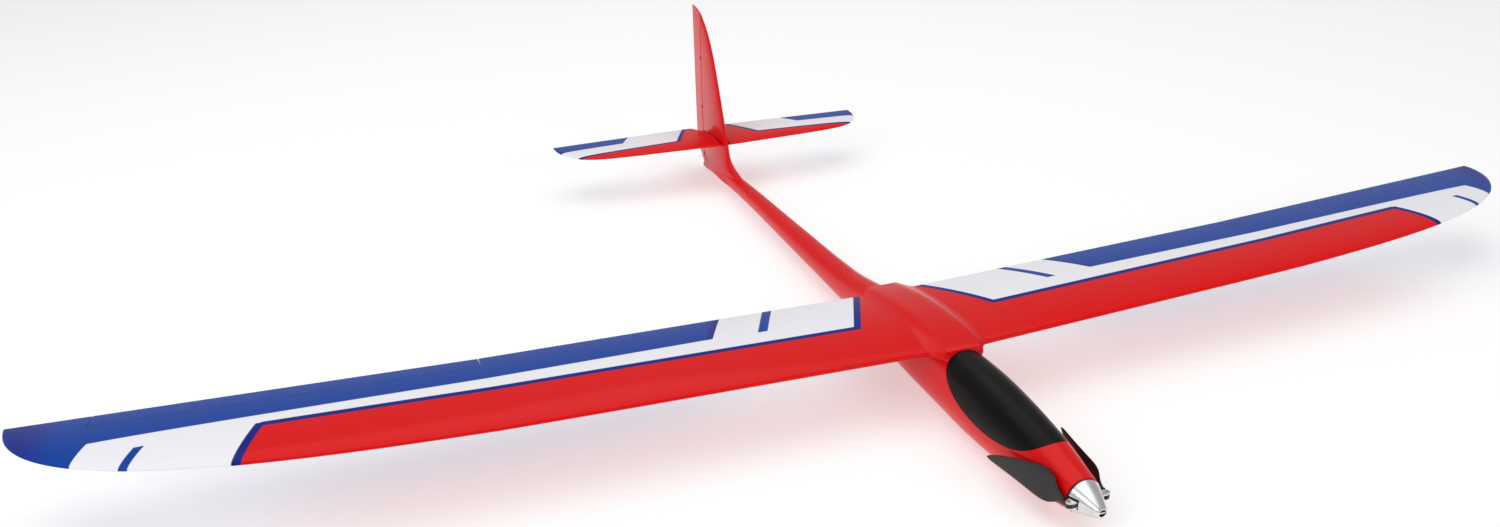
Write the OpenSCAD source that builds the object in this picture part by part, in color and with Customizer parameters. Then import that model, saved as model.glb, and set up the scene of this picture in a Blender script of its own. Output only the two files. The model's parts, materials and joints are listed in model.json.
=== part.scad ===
// Electric glider, about two metres of span, with a folding propeller.
// The nose points along -Y, the span lies along X and +Z is up.
// The origin is under the middle of the model, on the plane that the belly stands on.
// All sizes are in millimetres.

/* [Wing] */
// Tip to tip span of the wing
span = 1990; // [1700:10:2400]
// Chord of the wing at its root
root_chord = 178; // [150:1:214]
// Chord that a straight taper would have at the tip, before the tip is rounded
tip_chord = 160; // [130:1:175]
// Exponent of the curve that rounds the wing tip; a larger one gives a squarer tip
tip_power = 6.8; // [4:0.1:12]
// Greatest thickness of the wing section as a share of the chord
wing_thickness = 0.09; // [0.085:0.005:0.12]
// Greatest camber of the wing section as a share of the chord
wing_camber = 0.02; // [0:0.005:0.035]
// Angle of the wing chord to the ground line
incidence = 1.2; // [0:0.1:2]
// Rise of the inner wing, from the root to the aileron
dihedral_inner = 1.35; // [0.5:0.05:3]
// Rise of the outer wing, from the aileron's inner end to the tip
dihedral_outer = 2.3; // [0.5:0.05:4]
// Distance of the wing's root joint from the middle plane
root_x = 38; // [36:0.5:46]
// Height of the wing's trailing edge over the ground line at the root
wing_z = 72.5; // [70:0.5:78]
// Thickness of the plywood root ribs
root_rib_t = 2; // [1.5:0.5:3]

/* [Ailerons] */
// Distance of the aileron's inner end from the middle plane
aileron_in = 523; // [420:1:560]
// Distance of the aileron's outer end from the middle plane
aileron_out = 915; // [780:1:920]
// Depth of the aileron from hinge line to trailing edge
aileron_chord = 32; // [28:1:38]
// Play between the aileron and the wing
aileron_gap = 0.5; // [0.4:0.1:1]
// Angle that bevels the aileron's front face to let it swing down
aileron_bevel = 27; // [24:1:35]
// Distance of the aileron servo's arm from the middle plane
aileron_servo_x = 700; // [640:1:760]
// Distance from the servo arm's axle to the hinge line
aileron_rod_len = 52; // [45:1:60]
// Length of the aileron servo arm and of the horn, axle to pin
aileron_arm = 13; // [12.5:0.5:16]

/* [Fuselage] */
// Length from the spinner's nose to the rudder's trailing edge
length = 1248; // [1100:1:1500]
// Distance from the spinner's nose to the wing's leading edge at the root
nose_len = 280; // [260:1:330]
// Greatest width of the fuselage
body_w = 66; // [62:1:80]
// Greatest height of the fuselage
body_h = 82; // [80:0.5:88]
// Width of the tail boom behind the wing
boom_w = 40; // [38:1:48]
// Wall of the moulded shell
shell_t = 1.2; // [0.8:0.1:1.6]
// Depth that is taken off the belly to give the flat that the model stands on
belly_flat = 1.5; // [1:0.1:2.5]
// Height of the propeller axis over the ground line
axis_z = 37.5; // [36:0.5:40]
// Gap round the canopy
canopy_gap = 0.35; // [0.3:0.05:0.6]
// Distance from the front to the back of the canopy
canopy_len = 186; // [170:1:200]
// Depth of the canopy's edge below the top of the fuselage
canopy_drop = 44; // [38:1:48]

/* [Propeller and motor] */
// Diameter of the spinner's base
spinner_d = 38; // [36:1:40]
// Length of the spinner cone
spinner_len = 30; // [26:1:36]
// Diameter of the cooling hole in the spinner's nose
nose_hole_d = 8; // [6:0.5:9]
// Wall of the spinner cone
spinner_t = 1.4; // [1:0.1:2]
// Distance of a blade pin from the propeller axis
pin_x = 21.5; // [20:0.5:24]
// Diameter of the blade pins
pin_d = 3; // [2.5:0.5:3.5]
// Length of a blade from its pin to its tip
blade_len = 114; // [100:1:130]
// Greatest width of a blade
blade_w = 34; // [28:1:36]
// Angle by which a folded blade leans out from the nose
fold_lean = 12; // [12:0.5:16]
// Diameter of the motor case
motor_d = 28; // [24:1:30]
// Length of the motor case
motor_len = 48; // [40:1:52]
// Diameter of the motor shaft
shaft_d = 5; // [4:0.5:6]

/* [Tail] */
// Height of the fin's tip over the ground line
fin_top = 297.5; // [270:0.5:330]
// Thickness of the fin where the tailplane crosses it
fin_t = 15; // [14:0.5:18]
// Depth of the rudder from hinge line to trailing edge
rudder_chord = 48; // [42:1:56]
// Distance from the tailplane's leading edge to the rudder's trailing edge at the root
stab_back = 160; // [156:1:175]
// Half span of the tailplane
stab_half = 285; // [240:1:320]
// Chord of the tailplane at its root
stab_chord = 117; // [112:1:118]
// Chord that a straight taper would have at the tailplane's tip
stab_tip = 92; // [80:1:100]
// Height of the tailplane's axis over the ground line
stab_z = 80; // [78:0.5:90]
// Diameter of the rod that the tailplane turns on
torque_d = 3; // [2.5:0.5:4]
// Length of the tailplane's lever, axle to pushrod
lever_len = 15; // [13:0.5:16]
// Length of the rudder horn and of its servo arm, axle to pushrod
rudder_arm = 12; // [11:0.5:14]

/* [Equipment] */
// Length of the battery
battery_len = 105; // [80:1:110]
// Width of the battery
battery_w = 30; // [25:1:31]
// Height of the battery
battery_h = 22; // [18:1:30]
// Length of the servo cases in the fuselage
servo_len = 23; // [20:0.5:24]
// Width of the servo cases in the fuselage
servo_w = 12; // [10:0.5:12.5]
// Height of the servo cases in the fuselage
servo_h = 24; // [20:0.5:26]
// Diameter of the wing joiner
joiner_d = 8; // [6:0.5:8]
// Length of the wing joiner
joiner_len = 220; // [180:1:260]
// Diameter of the pushrod wires
wire_d = 1.5; // [1.2:0.1:2]

/* [Hidden] */
$fn = 48;
hull_fn = 32;
play = 0.05;              // running clearance of a pin in its hole
clear = 0.4;              // gap between pieces that pass each other
y_nose = -length / 2;
y_tail = length / 2;
y_base = y_nose + spinner_len;
y_ring = y_base + 2.5;
y_le = y_nose + nose_len;
y_te = y_le + root_chord;
y_hinge = y_tail - rudder_chord;
post_gap = 0.6;
rib_end = root_x + root_rib_t;
canopy_back = y_le - 16;
canopy_mid = canopy_back - canopy_len / 2;

// ---------- helpers ----------

function mix(a, b, t) = a + (b - a) * t;
function clamp01(t) = max(0, min(1, t));
function smooth(t) = let (u = clamp01(t)) u * u * (3 - 2 * u);

// Slope of column c of a table of stations at row i.
function slope(rows, i, c) =
    let (a = max(0, i - 1), b = min(len(rows) - 1, i + 1))
    (rows[b][c] - rows[a][c]) / (rows[b][0] - rows[a][0]);

// Value of column c of a table of stations at y, on a smooth curve through the rows.
function along(rows, y, c, i = 0) =
    (i >= len(rows) - 2 || y <= rows[i + 1][0]) ?
        let (
            h = rows[i + 1][0] - rows[i][0],
            t = clamp01((y - rows[i][0]) / h),
            m0 = slope(rows, i, c) * h,
            m1 = slope(rows, i + 1, c) * h
        )
        (2 * t * t * t - 3 * t * t + 1) * rows[i][c] + (t * t * t - 2 * t * t + t) * m0
        + (3 * t * t - 2 * t * t * t) * rows[i + 1][c] + (t * t * t - t * t) * m1
    : along(rows, y, c, i + 1);

function backwards(list) = [for (i = [len(list) - 1 : -1 : 0]) list[i]];

// Closed solid through a list of rings that all have the same even number of points.
// The rings' points run clockwise as seen along the way from the first ring to the last, and
// from one edge over the top to the other edge and back below.
module loft(rings) {
    n = len(rings[0]);
    last = (len(rings) - 1) * n;
    sides = [
        for (k = [0 : len(rings) - 2], i = [0 : n - 1], half = [0, 1])
            let (a = k * n + i, b = k * n + (i + 1) % n)
            half == 0 ? [a, b, b + n] : [a, b + n, a + n]
    ];
    caps = [
        for (i = [0 : n / 2 - 2], half = [0, 1], end = [0, 1])
            let (
                a = i, b = i + 1, c = n - 2 - i, d = n - 1 - i,
                tri = half == 0 ? [a, c, b] : [a, d, c]
            )
            end == 0 ? tri : [tri[2] + last, tri[1] + last, tri[0] + last]
    ];
    polyhedron(points = [for (r = rings) each r], faces = concat(sides, caps));
}

// Tube or wire swept along a list of points, with flat ends square to the path.
module sweep(path, d, sides = 8) {
    last = len(path) - 1;
    rings = [
        for (i = [0 : last])
            let (
                a = path[max(0, i - 1)], b = path[min(last, i + 1)],
                t = (b - a) / norm(b - a),
                u = cross([0, 0, 1], t) / norm(cross([0, 0, 1], t)),
                v = cross(t, u)
            )
            [for (k = [0 : sides - 1])
                let (q = -(k + 0.5) * 360 / sides)
                path[i] + d / 2 * (u * cos(q) + v * sin(q))]
    ];
    loft(rings);
}

// Cylinder between two points.
module rod(a, b, d) {
    v = b - a;
    translate(a)
        rotate([0, acos(v[2] / norm(v)), atan2(v[1], v[0])])
            cylinder(h = norm(v), d = d);
}

module block(low, high) {
    translate(low) cube(high - low);
}

module disc_y(y0, y1, d, x = 0, z = axis_z) {
    translate([x, y0, z]) rotate([-90, 0, 0]) cylinder(h = y1 - y0, d = d);
}

// ---------- wing ----------

side_pts = 18;            // points on the upper and on the lower side of a section
te_t = 0.8;               // thickness of a trailing edge

function half_t(x) =
    5 * (0.2969 * sqrt(x) - 0.1260 * x - 0.3516 * x * x
         + 0.2843 * pow(x, 3) - 0.1036 * pow(x, 4));
function camber_at(x, m) = 4 * m * x * (1 - x);
function spaced(i, n) = (1 - cos(180 * i / n)) / 2;

// Chordwise stations of a section, closer together at its nose.
function section(chord, thick, m) = concat(
    [for (i = [side_pts : -1 : 1])
        let (x = spaced(i, side_pts))
        [x * chord, chord * (camber_at(x, m) + thick * half_t(x)) + te_t / 2 * x]],
    [for (i = [1 : side_pts])
        let (x = spaced(i, side_pts))
        [x * chord, chord * (camber_at(x, m) - thick * half_t(x)) - te_t / 2 * x]]
);

function wing_chord(s) =
    let (t = s / (span / 2))
    mix(root_chord, tip_chord, t) * sqrt(max(0.001, 1 - pow(t, tip_power)));
function wing_rise(s) =
    s <= aileron_in ? tan(dihedral_inner) * (s - root_x)
    : tan(dihedral_inner) * (aileron_in - root_x) + tan(dihedral_outer) * (s - aileron_in);

// One section of the wing at span station s, with its own chord and thickness.
function wing_ring(s, x, chord, back = 0, grow = 1) = [
    for (p = section(chord, wing_thickness * grow, wing_camber))
        let (y = p[0] - chord)
        [x, y_te + back + y * cos(incidence) + p[1] * sin(incidence),
         wing_z + wing_rise(s) - y * sin(incidence) + p[1] * cos(incidence)]
];

function stations() = [
    for (t = [0, 0.12, 0.27, 0.41]) mix(rib_end, span / 2, t),
    aileron_in,
    for (t = [0.33, 0.62, 0.85]) mix(aileron_in, aileron_out, t),
    aileron_out,
    for (t = [0.35, 0.62, 0.81, 0.92, 0.98, 0.995]) mix(aileron_out, span / 2, t)
];
module wing_blank() {
    loft([for (s = backwards(stations())) wing_ring(s, s, wing_chord(s))]);
}

// Height of the wing's skin at span station s, a distance forward of its trailing edge.
function skin_z(s, forward, side) =
    let (
        c = wing_chord(s),
        x = 1 - forward / c,
        h = c * (camber_at(x, wing_camber) + side * wing_thickness * half_t(x))
            + side * te_t / 2 * x
    )
    wing_z + wing_rise(s) + forward * sin(incidence) + h * cos(incidence);

// The aileron's hinge line: a straight line just under the top skin.
hinge_in = [aileron_in, y_te - aileron_chord, skin_z(aileron_in, aileron_chord, 1) - 0.4];
hinge_out = [aileron_out, y_te - aileron_chord, skin_z(aileron_out, aileron_chord, 1) - 0.4];
hinge_tilt = atan2(hinge_out[2] - hinge_in[2], hinge_out[0] - hinge_in[0]);
hinge_len = norm(hinge_out - hinge_in);
servo_along = (aileron_servo_x - aileron_in) / cos(hinge_tilt);

// Puts a piece that is drawn round the hinge line in its place. Its own x runs along the
// hinge from the inner end, y runs back and z up.
module on_hinge() {
    translate(hinge_in) rotate([0, -hinge_tilt, 0]) children();
}

module other_side() {
    mirror([1, 0, 0]) children();
}

// Solid that holds the aileron: a bevelled front face and square ends.
module aileron_space(end_gap, front, bevel) {
    reach = aileron_chord + 10;
    deep = 16;
    on_hinge()
        translate([end_gap, 0, 0])
            rotate([90, 0, 90])
                linear_extrude(height = hinge_len - 2 * end_gap)
                    polygon([
                        [front, 6], [front, -0.2],
                        [front + deep * tan(bevel), -deep], [reach, -deep], [reach, 6]
                    ]);
}

arm_t = 1.6;              // thickness of servo arms and horns
arm_x = servo_along;      // place of the servo arm along the hinge line
as_len = 23;              // aileron servo: length, height along its axle, thickness
as_high = 18;
as_t = 8.6;
as_x0 = arm_x - 2.6 - as_high;
as_y0 = -aileron_rod_len - 5.5;
pocket_gap = 0.3;
cover_t = 1;
cover_rim = 4;

module aileron_pocket(extra) {
    on_hinge()
        block([as_x0 - extra, as_y0 - extra, -20],
              [arm_x + 3 + extra, as_y0 + as_len + extra, as_t / 2 + pocket_gap]);
}

joiner_y = y_le + 0.34 * root_chord;
joiner_z = wing_z + 0.66 * root_chord * sin(incidence)
    + root_chord * camber_at(0.34, wing_camber);
pin_ys = [y_le + 0.12 * root_chord, y_le + 0.72 * root_chord];
root_pin_d = 4;
root_pin_half = 15;
function root_pin_z(y) =
    let (x = (y - y_le) / root_chord)
    wing_z + (y_te - y) * sin(incidence) + root_chord * camber_at(x, wing_camber);

module along_x(x0, x1, y, z, d) {
    translate([x0, y, z]) rotate([0, 90, 0]) cylinder(h = x1 - x0, d = d);
}

module wing_panel() {
    difference() {
        wing_blank();
        aileron_space(-aileron_gap / 2, -aileron_gap, 0);
        aileron_pocket(pocket_gap);
        cover_recess();
        along_x(0, joiner_len / 2 + 1, joiner_y, joiner_z, joiner_d + 2 * play);
        for (y = pin_ys) {
            along_x(0, root_x + root_pin_half + 0.5, y, root_pin_z(y), root_pin_d + 2 * play);
        }
    }
}

// The cover lies in a shallow step round the servo's pocket, flush with the lower skin.
cover_x0 = as_x0 - cover_rim;
cover_x1 = arm_x + 3 + cover_rim;
cover_y0 = as_y0 - cover_rim;
cover_y1 = as_y0 + as_len + cover_rim;
cover_lean = atan2(
    skin_z(aileron_servo_x, aileron_chord - cover_y0, -1)
    - skin_z(aileron_servo_x, aileron_chord - cover_y1, -1),
    cover_y0 - cover_y1);
cover_mid = (cover_y0 + cover_y1) / 2;
cover_skin = min([
    for (x = [cover_x0, cover_x1], y = [cover_y0, cover_y1])
        skin_z(aileron_in + x * cos(hinge_tilt), aileron_chord - y, -1)
        - (hinge_in[2] + x * sin(hinge_tilt)) - (y - cover_mid) * tan(cover_lean)
]);

module cover_plate(extra, thick) {
    on_hinge()
        translate([0, cover_mid, cover_skin])
            rotate([cover_lean, 0, 0])
                block([cover_x0 - extra, cover_y0 - cover_mid - extra, -thick[0]],
                      [cover_x1 + extra, cover_y1 - cover_mid + extra, thick[1]]);
}

module cover_recess() {
    cover_plate(0.2, [6, cover_t]);
}

module servo_cover() {
    difference() {
        cover_plate(0, [0, cover_t]);
        on_hinge()
            block([arm_x - 2, -aileron_rod_len - 9, -20], [arm_x + 2, -aileron_rod_len + 9, 0]);
        on_hinge()
            for (x = [cover_x0 + 2, cover_x1 - 2], y = [cover_y0 + 2, cover_y1 - 2]) {
                translate([x, y, -20]) cylinder(h = 40, d = 1.6, $fn = 24);
            }
    }
}

module aileron_servo() {
    on_hinge() {
        block([as_x0, as_y0, -as_t / 2], [arm_x - 2.6, as_y0 + as_len, as_t / 2]);
        translate([arm_x - 2.6, -aileron_rod_len, 0])
            rotate([0, 90, 0]) cylinder(h = 1.6, d = 5);
    }
}

// Flat arm with a round boss at its axle and a hole for a pin at its far end.
// It hangs along -z and is arm_t thick along x.
module hanging_arm(reach, hole) {
    difference() {
        union() {
            rotate([0, 90, 0]) cylinder(h = arm_t, d = 7);
            hull() {
                rotate([0, 90, 0]) cylinder(h = arm_t, d = 5, $fn = hull_fn);
                translate([0, 0, -reach])
                    rotate([0, 90, 0]) cylinder(h = arm_t, d = 4, $fn = hull_fn);
            }
        }
        translate([-1, 0, -reach]) rotate([0, 90, 0]) cylinder(h = arm_t + 2, d = hole);
    }
}

module aileron_servo_arm() {
    on_hinge()
        translate([arm_x - 0.8, -aileron_rod_len, 0]) hanging_arm(aileron_arm, wire_d + 2 * play);
}

module aileron() {
    intersection() {
        wing_blank();
        aileron_space(aileron_gap, 0, aileron_bevel);
    }
}

// Horn under the aileron: its foot follows the lower skin and its pin hole lies straight
// below the hinge line.
module aileron_horn() {
    foot_z = skin_z(aileron_servo_x, aileron_chord - 9, -1)
        - (hinge_in[2] + servo_along * sin(hinge_tilt));
    on_hinge()
        difference() {
            translate([arm_x - 0.8, 0, 0])
                rotate([90, 0, 90])
                    linear_extrude(height = arm_t)
                        polygon([
                            [-2.2, -aileron_arm - 1.5], [-2.2, -aileron_arm + 1],
                            [5.5, foot_z + 0.5], [5.5, foot_z + 2.5],
                            [15, foot_z + 2.5], [15, foot_z - 0.5],
                            [2.2, -aileron_arm - 1.5]
                        ]);
            translate([arm_x - 2, 0, -aileron_arm])
                rotate([0, 90, 0]) cylinder(h = 4, d = wire_d + 2 * play);
        }
}

// Wire with a pin bent over at the servo arm and a clevis round the horn.
module aileron_pushrod() {
    far = arm_x + 3.2;
    on_hinge() {
        translate([0, 0, -aileron_arm]) {
            rod([arm_x - 1.6, -aileron_rod_len, 0], [far, -aileron_rod_len, 0], wire_d);
            rod([far, -aileron_rod_len - wire_d / 2, 0], [far, -8, 0], wire_d);
            rod([arm_x - 1.6, 0, 0], [far, 0, 0], wire_d);
            block([arm_x + 1.4, -9, -1.6], [far + 1, 1.8, 1.6]);
        }
    }
}

module root_rib() {
    difference() {
        translate([root_x, 0, 0])
            rotate([90, 0, 90])
                linear_extrude(height = root_rib_t)
                    polygon([for (p = wing_ring(root_x, 0, wing_chord(root_x))) [p[1], p[2]]]);
        along_x(0, root_x + 20, joiner_y, joiner_z, joiner_d + 2 * play);
        for (y = pin_ys) {
            along_x(0, root_x + 20, y, root_pin_z(y), root_pin_d + 2 * play);
        }
    }
}

// ---------- fuselage ----------

// Stations of the body: y, half width, top and bottom over the ground line.
function body_rows() = [
    [y_ring, spinner_d / 2 + 0.3, axis_z + spinner_d / 2 + 0.3, axis_z - spinner_d / 2 - 0.3],
    [mix(y_ring, y_le, 0.27), body_w * 0.42, body_h - 10.5, 5.5],
    [mix(y_ring, y_le, 0.67), body_w * 0.5, body_h, -belly_flat],
    [y_le, body_w * 0.485, body_h - 0.5, -belly_flat],
    [mix(y_le, y_te, 0.5), body_w * 0.44, body_h - 5, -1],
    [y_te, boom_w * 0.6, body_h - 11, 3],
    [mix(y_te, y_hinge, 0.16), boom_w * 0.5, 52.5, 9],
    [mix(y_te, y_hinge, 0.4), boom_w * 0.425, 45.5, 12.5],
    [mix(y_te, y_hinge, 0.64), boom_w * 0.34, 42, 14.5],
    [mix(y_te, y_hinge, 0.81), boom_w * 0.29, 38, 12.5],
    [mix(y_te, y_hinge, 0.94), boom_w * 0.21, 35, 6.5],
    [y_hinge - 6, 6.6, 33, 2]
];
body_power = 2.25;
body_pts = 32;

function super(q, r) = let (c = cos(q)) sign(c) * pow(abs(c), 2 / body_power) * r;
function body_ring(y, inset) =
    let (
        rows = body_rows(),
        w = along(rows, y, 1) - inset,
        top = along(rows, y, 2) - inset,
        low = along(rows, y, 3) + inset
    )
    [for (i = [0 : body_pts - 1])
        let (q = (i + 0.5) * 360 / body_pts)
        [super(q, w), y, max(inset, (top + low) / 2 + super(q - 90, (top - low) / 2))]];

function body_ys(last) = [
    for (i = [0 : last])
        each i == last ? [body_rows()[i][0]]
            : [body_rows()[i][0], mix(body_rows()[i][0], body_rows()[i + 1][0], 0.5)]
];

module body_outside() {
    loft([for (y = body_ys(11)) body_ring(y, 0)]);
}

module body_inside(inset = shell_t) {
    start = body_ring(y_ring, inset);
    loft(concat(
        [[for (p = start) [p[0], y_ring - 1, p[2]]]],
        [for (y = [for (v = body_ys(10)) if (v > y_ring) v]) body_ring(y, inset)]
    ));
}

// The moulded stub that carries the wing and flares into the body.
flare = [[0, 0, 1], [3, 3, 1.02], [9, 9, 1.08], [22, 20, 1.2]];
flare_x = [0, 4, 9, 16];
module wing_stub() {
    half = [for (i = [0 : 3])
        wing_ring(root_x, root_x - flare_x[i],
                  wing_chord(root_x) + flare[i][0] + flare[i][1], flare[i][1], flare[i][2])];
    loft(concat(
        half,
        backwards([for (ring = half) [for (p = ring) [-p[0], p[1], p[2]]]])
    ));
}

fin_low = 20;
fin_back = y_tail;
fin_lean = 0.43;
fin_power = 9.5;
// Leading edge of fin and rudder at height z, with the fillet that runs into the boom.
fin_front_low = y_hinge - 130;
function fin_line(z) = fin_front_low + fin_lean * (z - 62.5);
function fin_chord(z) =
    let (t = (z - fin_low) / (fin_top - fin_low))
    (fin_back - fin_line(z)) * sqrt(max(0.0009, 1 - pow(max(0, t), fin_power)));
function fin_fillet(z) = 50 * pow(clamp01((64.5 - z) / 25), 3);
function fin_front(z) = fin_back - fin_chord(z) - fin_fillet(z);
function fin_half(z, y) =
    let (
        c = fin_back - fin_front(z),
        x = clamp01((y - fin_front(z)) / c)
    )
    fin_t / 173 * fin_chord(z) * half_t(x) + te_t / 2 * x;
fin_pts = 12;
function fin_heights() = [
    for (z = [fin_low, 30, 36, 42, 48, 56, 66]) z,
    for (t = [0.2, 0.42, 0.62, 0.74, 0.83, 0.89, 0.925]) mix(66, fin_top, t)
];
function fin_ring(z) =
    let (
        f = fin_front(z),
        b = max(f + 1, min(y_hinge - fin_half(z, y_hinge) - post_gap, fin_back))
    )
    concat(
        [for (i = [fin_pts : -1 : 1])
            let (y = mix(f, b, pow(i / fin_pts, 1.8)))
            [-fin_half(z, y), y, z]],
        [for (i = [1 : fin_pts])
            let (y = mix(f, b, pow(i / fin_pts, 1.8)))
            [fin_half(z, y), y, z]]
    );
module fin_solid() {
    loft([for (z = backwards(fin_heights())) if (fin_front(z) < y_hinge - 8) fin_ring(z)]);
}

// Side outline of the canopy: an ellipse whose lower half cuts the body.
canopy_mid_z = body_h + 4.5;
canopy_deep = canopy_drop + 4.5;
module canopy_cutter(shrink) {
    a = canopy_len / 2 + 3 - shrink;
    b = canopy_deep - shrink;
    translate([-50, 0, 0])
        rotate([90, 0, 90])
            linear_extrude(height = 100)
                polygon([for (i = [0 : 39])
                    let (q = i * 9)
                    [canopy_mid + a * cos(q), canopy_mid_z + b * sin(q)]]);
}

torque_y = y_tail - stab_back + 31;
drive_y = torque_y + 34;
drive_d = 2;
tail_swing = 9;

module fuselage_shell() {
    color([0.86, 0.08, 0.1])
        difference() {
            union() {
                body_outside();
                wing_stub();
                fin_solid();
            }
            body_inside();
            canopy_cutter(0);
            along_x(-50, 50, joiner_y, joiner_z, joiner_d + 2.4);
            for (y = pin_ys, s = [-1, 1]) {
                along_x(s > 0 ? root_x - root_pin_half : -root_x - 1,
                        s > 0 ? root_x + 1 : -root_x + root_pin_half, y, root_pin_z(y),
                        root_pin_d);
            }
            along_x(-20, 20, torque_y, stab_z, torque_d + 2 * play);
            drive_slot();
            lever_slot();
            rudder_wire_slot();
            for (z = lug_zs) hinge_leaf(z);
        }
}

// Opening for the tailplane's drive rod, which swings with the tailplane.
module drive_slot() {
    swing = sin(tail_swing) * (drive_y - torque_y) + drive_d / 2 + clear;
    block([-20, drive_y - drive_d / 2 - 1, stab_z - swing],
          [20, drive_y + drive_d / 2 + clear, stab_z + swing]);
}

// Slot in the middle of the fin for the lever and its pushrod, open to the boom.
slot_half = 3.5;
module lever_slot() {
    rise = sin(tail_swing) * (drive_y - torque_y) + 3.6;
    translate([-slot_half, 0, 0])
        rotate([90, 0, 90])
            linear_extrude(height = 2 * slot_half)
                polygon([
                    [torque_y - 112, 30], [torque_y - 84, 40], [torque_y - 34, 62],
                    [torque_y - 10, stab_z + 6], [drive_y + 5, stab_z + rise],
                    [drive_y + 5, stab_z - 10], [torque_y + 10, stab_z - lever_len - 6],
                    [torque_y - 34, 46], [torque_y - 60, 34], [torque_y - 60, 26],
                    [torque_y - 112, 24]
                ]);
}

rudder_horn_z = 20;
rudder_servo_at = [-rudder_arm / 3, y_le + 53];
elevator_servo_at = [3, y_le + 13];
servo_floor = 14;
arm_z = servo_floor + servo_h + 2.4;
rudder_pin_front = [rudder_servo_at[0] + rudder_arm, rudder_servo_at[1], arm_z];
rudder_pin_back = [rudder_arm, y_hinge, rudder_horn_z];
function on_rudder_line(y) =
    rudder_pin_front
    + (rudder_pin_back - rudder_pin_front)
      * ((y - rudder_pin_front[1]) / (rudder_pin_back[1] - rudder_pin_front[1]));

wire_lift = [0, 0, 2.3];  // the wire runs above the pins that it is bent into
module rudder_wire_slot() {
    rod(on_rudder_line(y_hinge - 280) + wire_lift, on_rudder_line(y_hinge - 40) + wire_lift, 4.8);
}

module canopy() {
    color([0.04, 0.04, 0.04])
        intersection() {
            difference() {
                body_outside();
                body_inside();
            }
            canopy_cutter(canopy_gap);
        }
}

// ---------- inside the fuselage ----------

motor_front = y_ring + 6;
bulkhead_t = 3;
case_front = motor_front + bulkhead_t;
bearing_d = 11;
bearing_t = 4;
motor_screw_r = 9.5;

module motor_bulkhead() {
    color([0.8, 0.68, 0.48])
        difference() {
            disc_y(motor_front, case_front, spinner_d - 2 * shell_t - 0.2);
            disc_y(motor_front - 1, case_front + 1, bearing_d + 1);
            motor_screw_holes(3.2, motor_front - 1, case_front + 1);
            for (s = [-1, 1]) disc_y(motor_front - 1, case_front + 1, 4, 0, axis_z + 12 * s);
        }
}

module motor_screw_holes(d, y0, y1) {
    for (s = [-1, 1]) disc_y(y0, y1, d, motor_screw_r * s);
}

module motor_case() {
    color([0.75, 0.76, 0.78])
        difference() {
            disc_y(case_front, case_front + motor_len, motor_d);
            disc_y(case_front + bearing_t, case_front + motor_len - bearing_t, motor_d - 4);
            disc_y(case_front - 1, case_front + motor_len + 1, bearing_d);
            motor_screw_holes(2.6, case_front - 1, case_front + bearing_t - 0.5);
        }
}

module motor_bearings() {
    color([0.7, 0.7, 0.72])
        for (y = [case_front, case_front + motor_len - bearing_t]) {
            difference() {
                disc_y(y, y + bearing_t, bearing_d);
                disc_y(y - 1, y + bearing_t + 1, shaft_d + 2 * play);
            }
        }
}

module motor_screws() {
    color([0.3, 0.3, 0.32])
        for (s = [-1, 1]) {
            disc_y(motor_front - 1.8, motor_front, 5, motor_screw_r * s);
            disc_y(motor_front, case_front + bearing_t - 0.5, 2.6, motor_screw_r * s);
        }
}

module motor_rotor() {
    color([0.25, 0.25, 0.27])
        difference() {
            disc_y(case_front + bearing_t + 2, case_front + motor_len - bearing_t - 2, 15);
            disc_y(case_front, case_front + motor_len, shaft_d);
        }
}

hub_len = 9;
hub_y = y_base - 6;       // middle of the yoke, on the blade pins' axis
module motor_shaft() {
    color([0.75, 0.75, 0.77])
        disc_y(hub_y - hub_len / 2 - 3, case_front + motor_len + 1.5, shaft_d);
}

tray_top = servo_floor;
tray_t = 2;
tray_front = case_front + motor_len + 5;
tray_back = rudder_servo_at[1] + servo_len / 2 + 9;
tray_half = 19;
battery_y = y_le - 36 - battery_len;
strap_t = 1.2;
strap_w = 20;

module equipment_tray() {
    color([0.85, 0.74, 0.53])
        difference() {
            union() {
                block([-tray_half, tray_front + 22, tray_top - tray_t],
                      [tray_half, tray_back, tray_top]);
                block([-13, tray_front, tray_top - tray_t],
                      [13, tray_front + 22, tray_top]);
                intersection() {
                    body_inside(shell_t + 0.05);
                    for (x = [-7, 5]) {
                        block([x, tray_front + 40, 0], [x + 2, y_te - 70, tray_top - 1]);
                    }
                }
            }
            for (s = [-1, 1]) {
                translate([s * (battery_w / 2 + 0.3 + strap_t / 2),
                           battery_y + battery_len / 2, tray_top])
                    cube([strap_t + 0.8, strap_w + 1, 10], center = true);
            }
            for (x = [-6, 6]) {
                translate([0, battery_y + battery_len / 2, tray_top - tray_t - 0.7])
                    cube([16, strap_w + 1, 1.6 * strap_t], center = true);
            }
        }
}

module speed_controller() {
    color([0.1, 0.12, 0.35])
        block([-12, tray_front + 1, tray_top], [12, battery_y - 3, tray_top + 9]);
}

module battery() {
    color([0.12, 0.22, 0.5])
        hull() {
            for (x = [-1, 1] * (battery_w / 2 - 2), z = [2, battery_h - 2]) {
                translate([x, battery_y, tray_top + z])
                    rotate([-90, 0, 0]) cylinder(h = battery_len, r = 2, $fn = hull_fn);
            }
        }
}

module battery_strap() {
    half = battery_w / 2 + 0.3;
    color([0.12, 0.12, 0.13])
        difference() {
            block([-half - strap_t, battery_y + (battery_len - strap_w) / 2,
                   tray_top - tray_t - strap_t],
                  [half + strap_t, battery_y + (battery_len + strap_w) / 2,
                   tray_top + battery_h + 0.2 + strap_t]);
            block([-half, battery_y, tray_top - tray_t],
                  [half, battery_y + battery_len, tray_top + battery_h + 0.2]);
        }
}

module receiver() {
    color([0.2, 0.2, 0.22])
        block([-11, battery_y + battery_len + 2, tray_top],
              [11, battery_y + battery_len + 20, tray_top + 12]);
}

spline_d = 4.6;
lug_z = servo_floor + servo_h * 0.66;
lug_len = 4.4;
lug_t = 2;
function servo_places() = [elevator_servo_at, rudder_servo_at];

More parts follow.
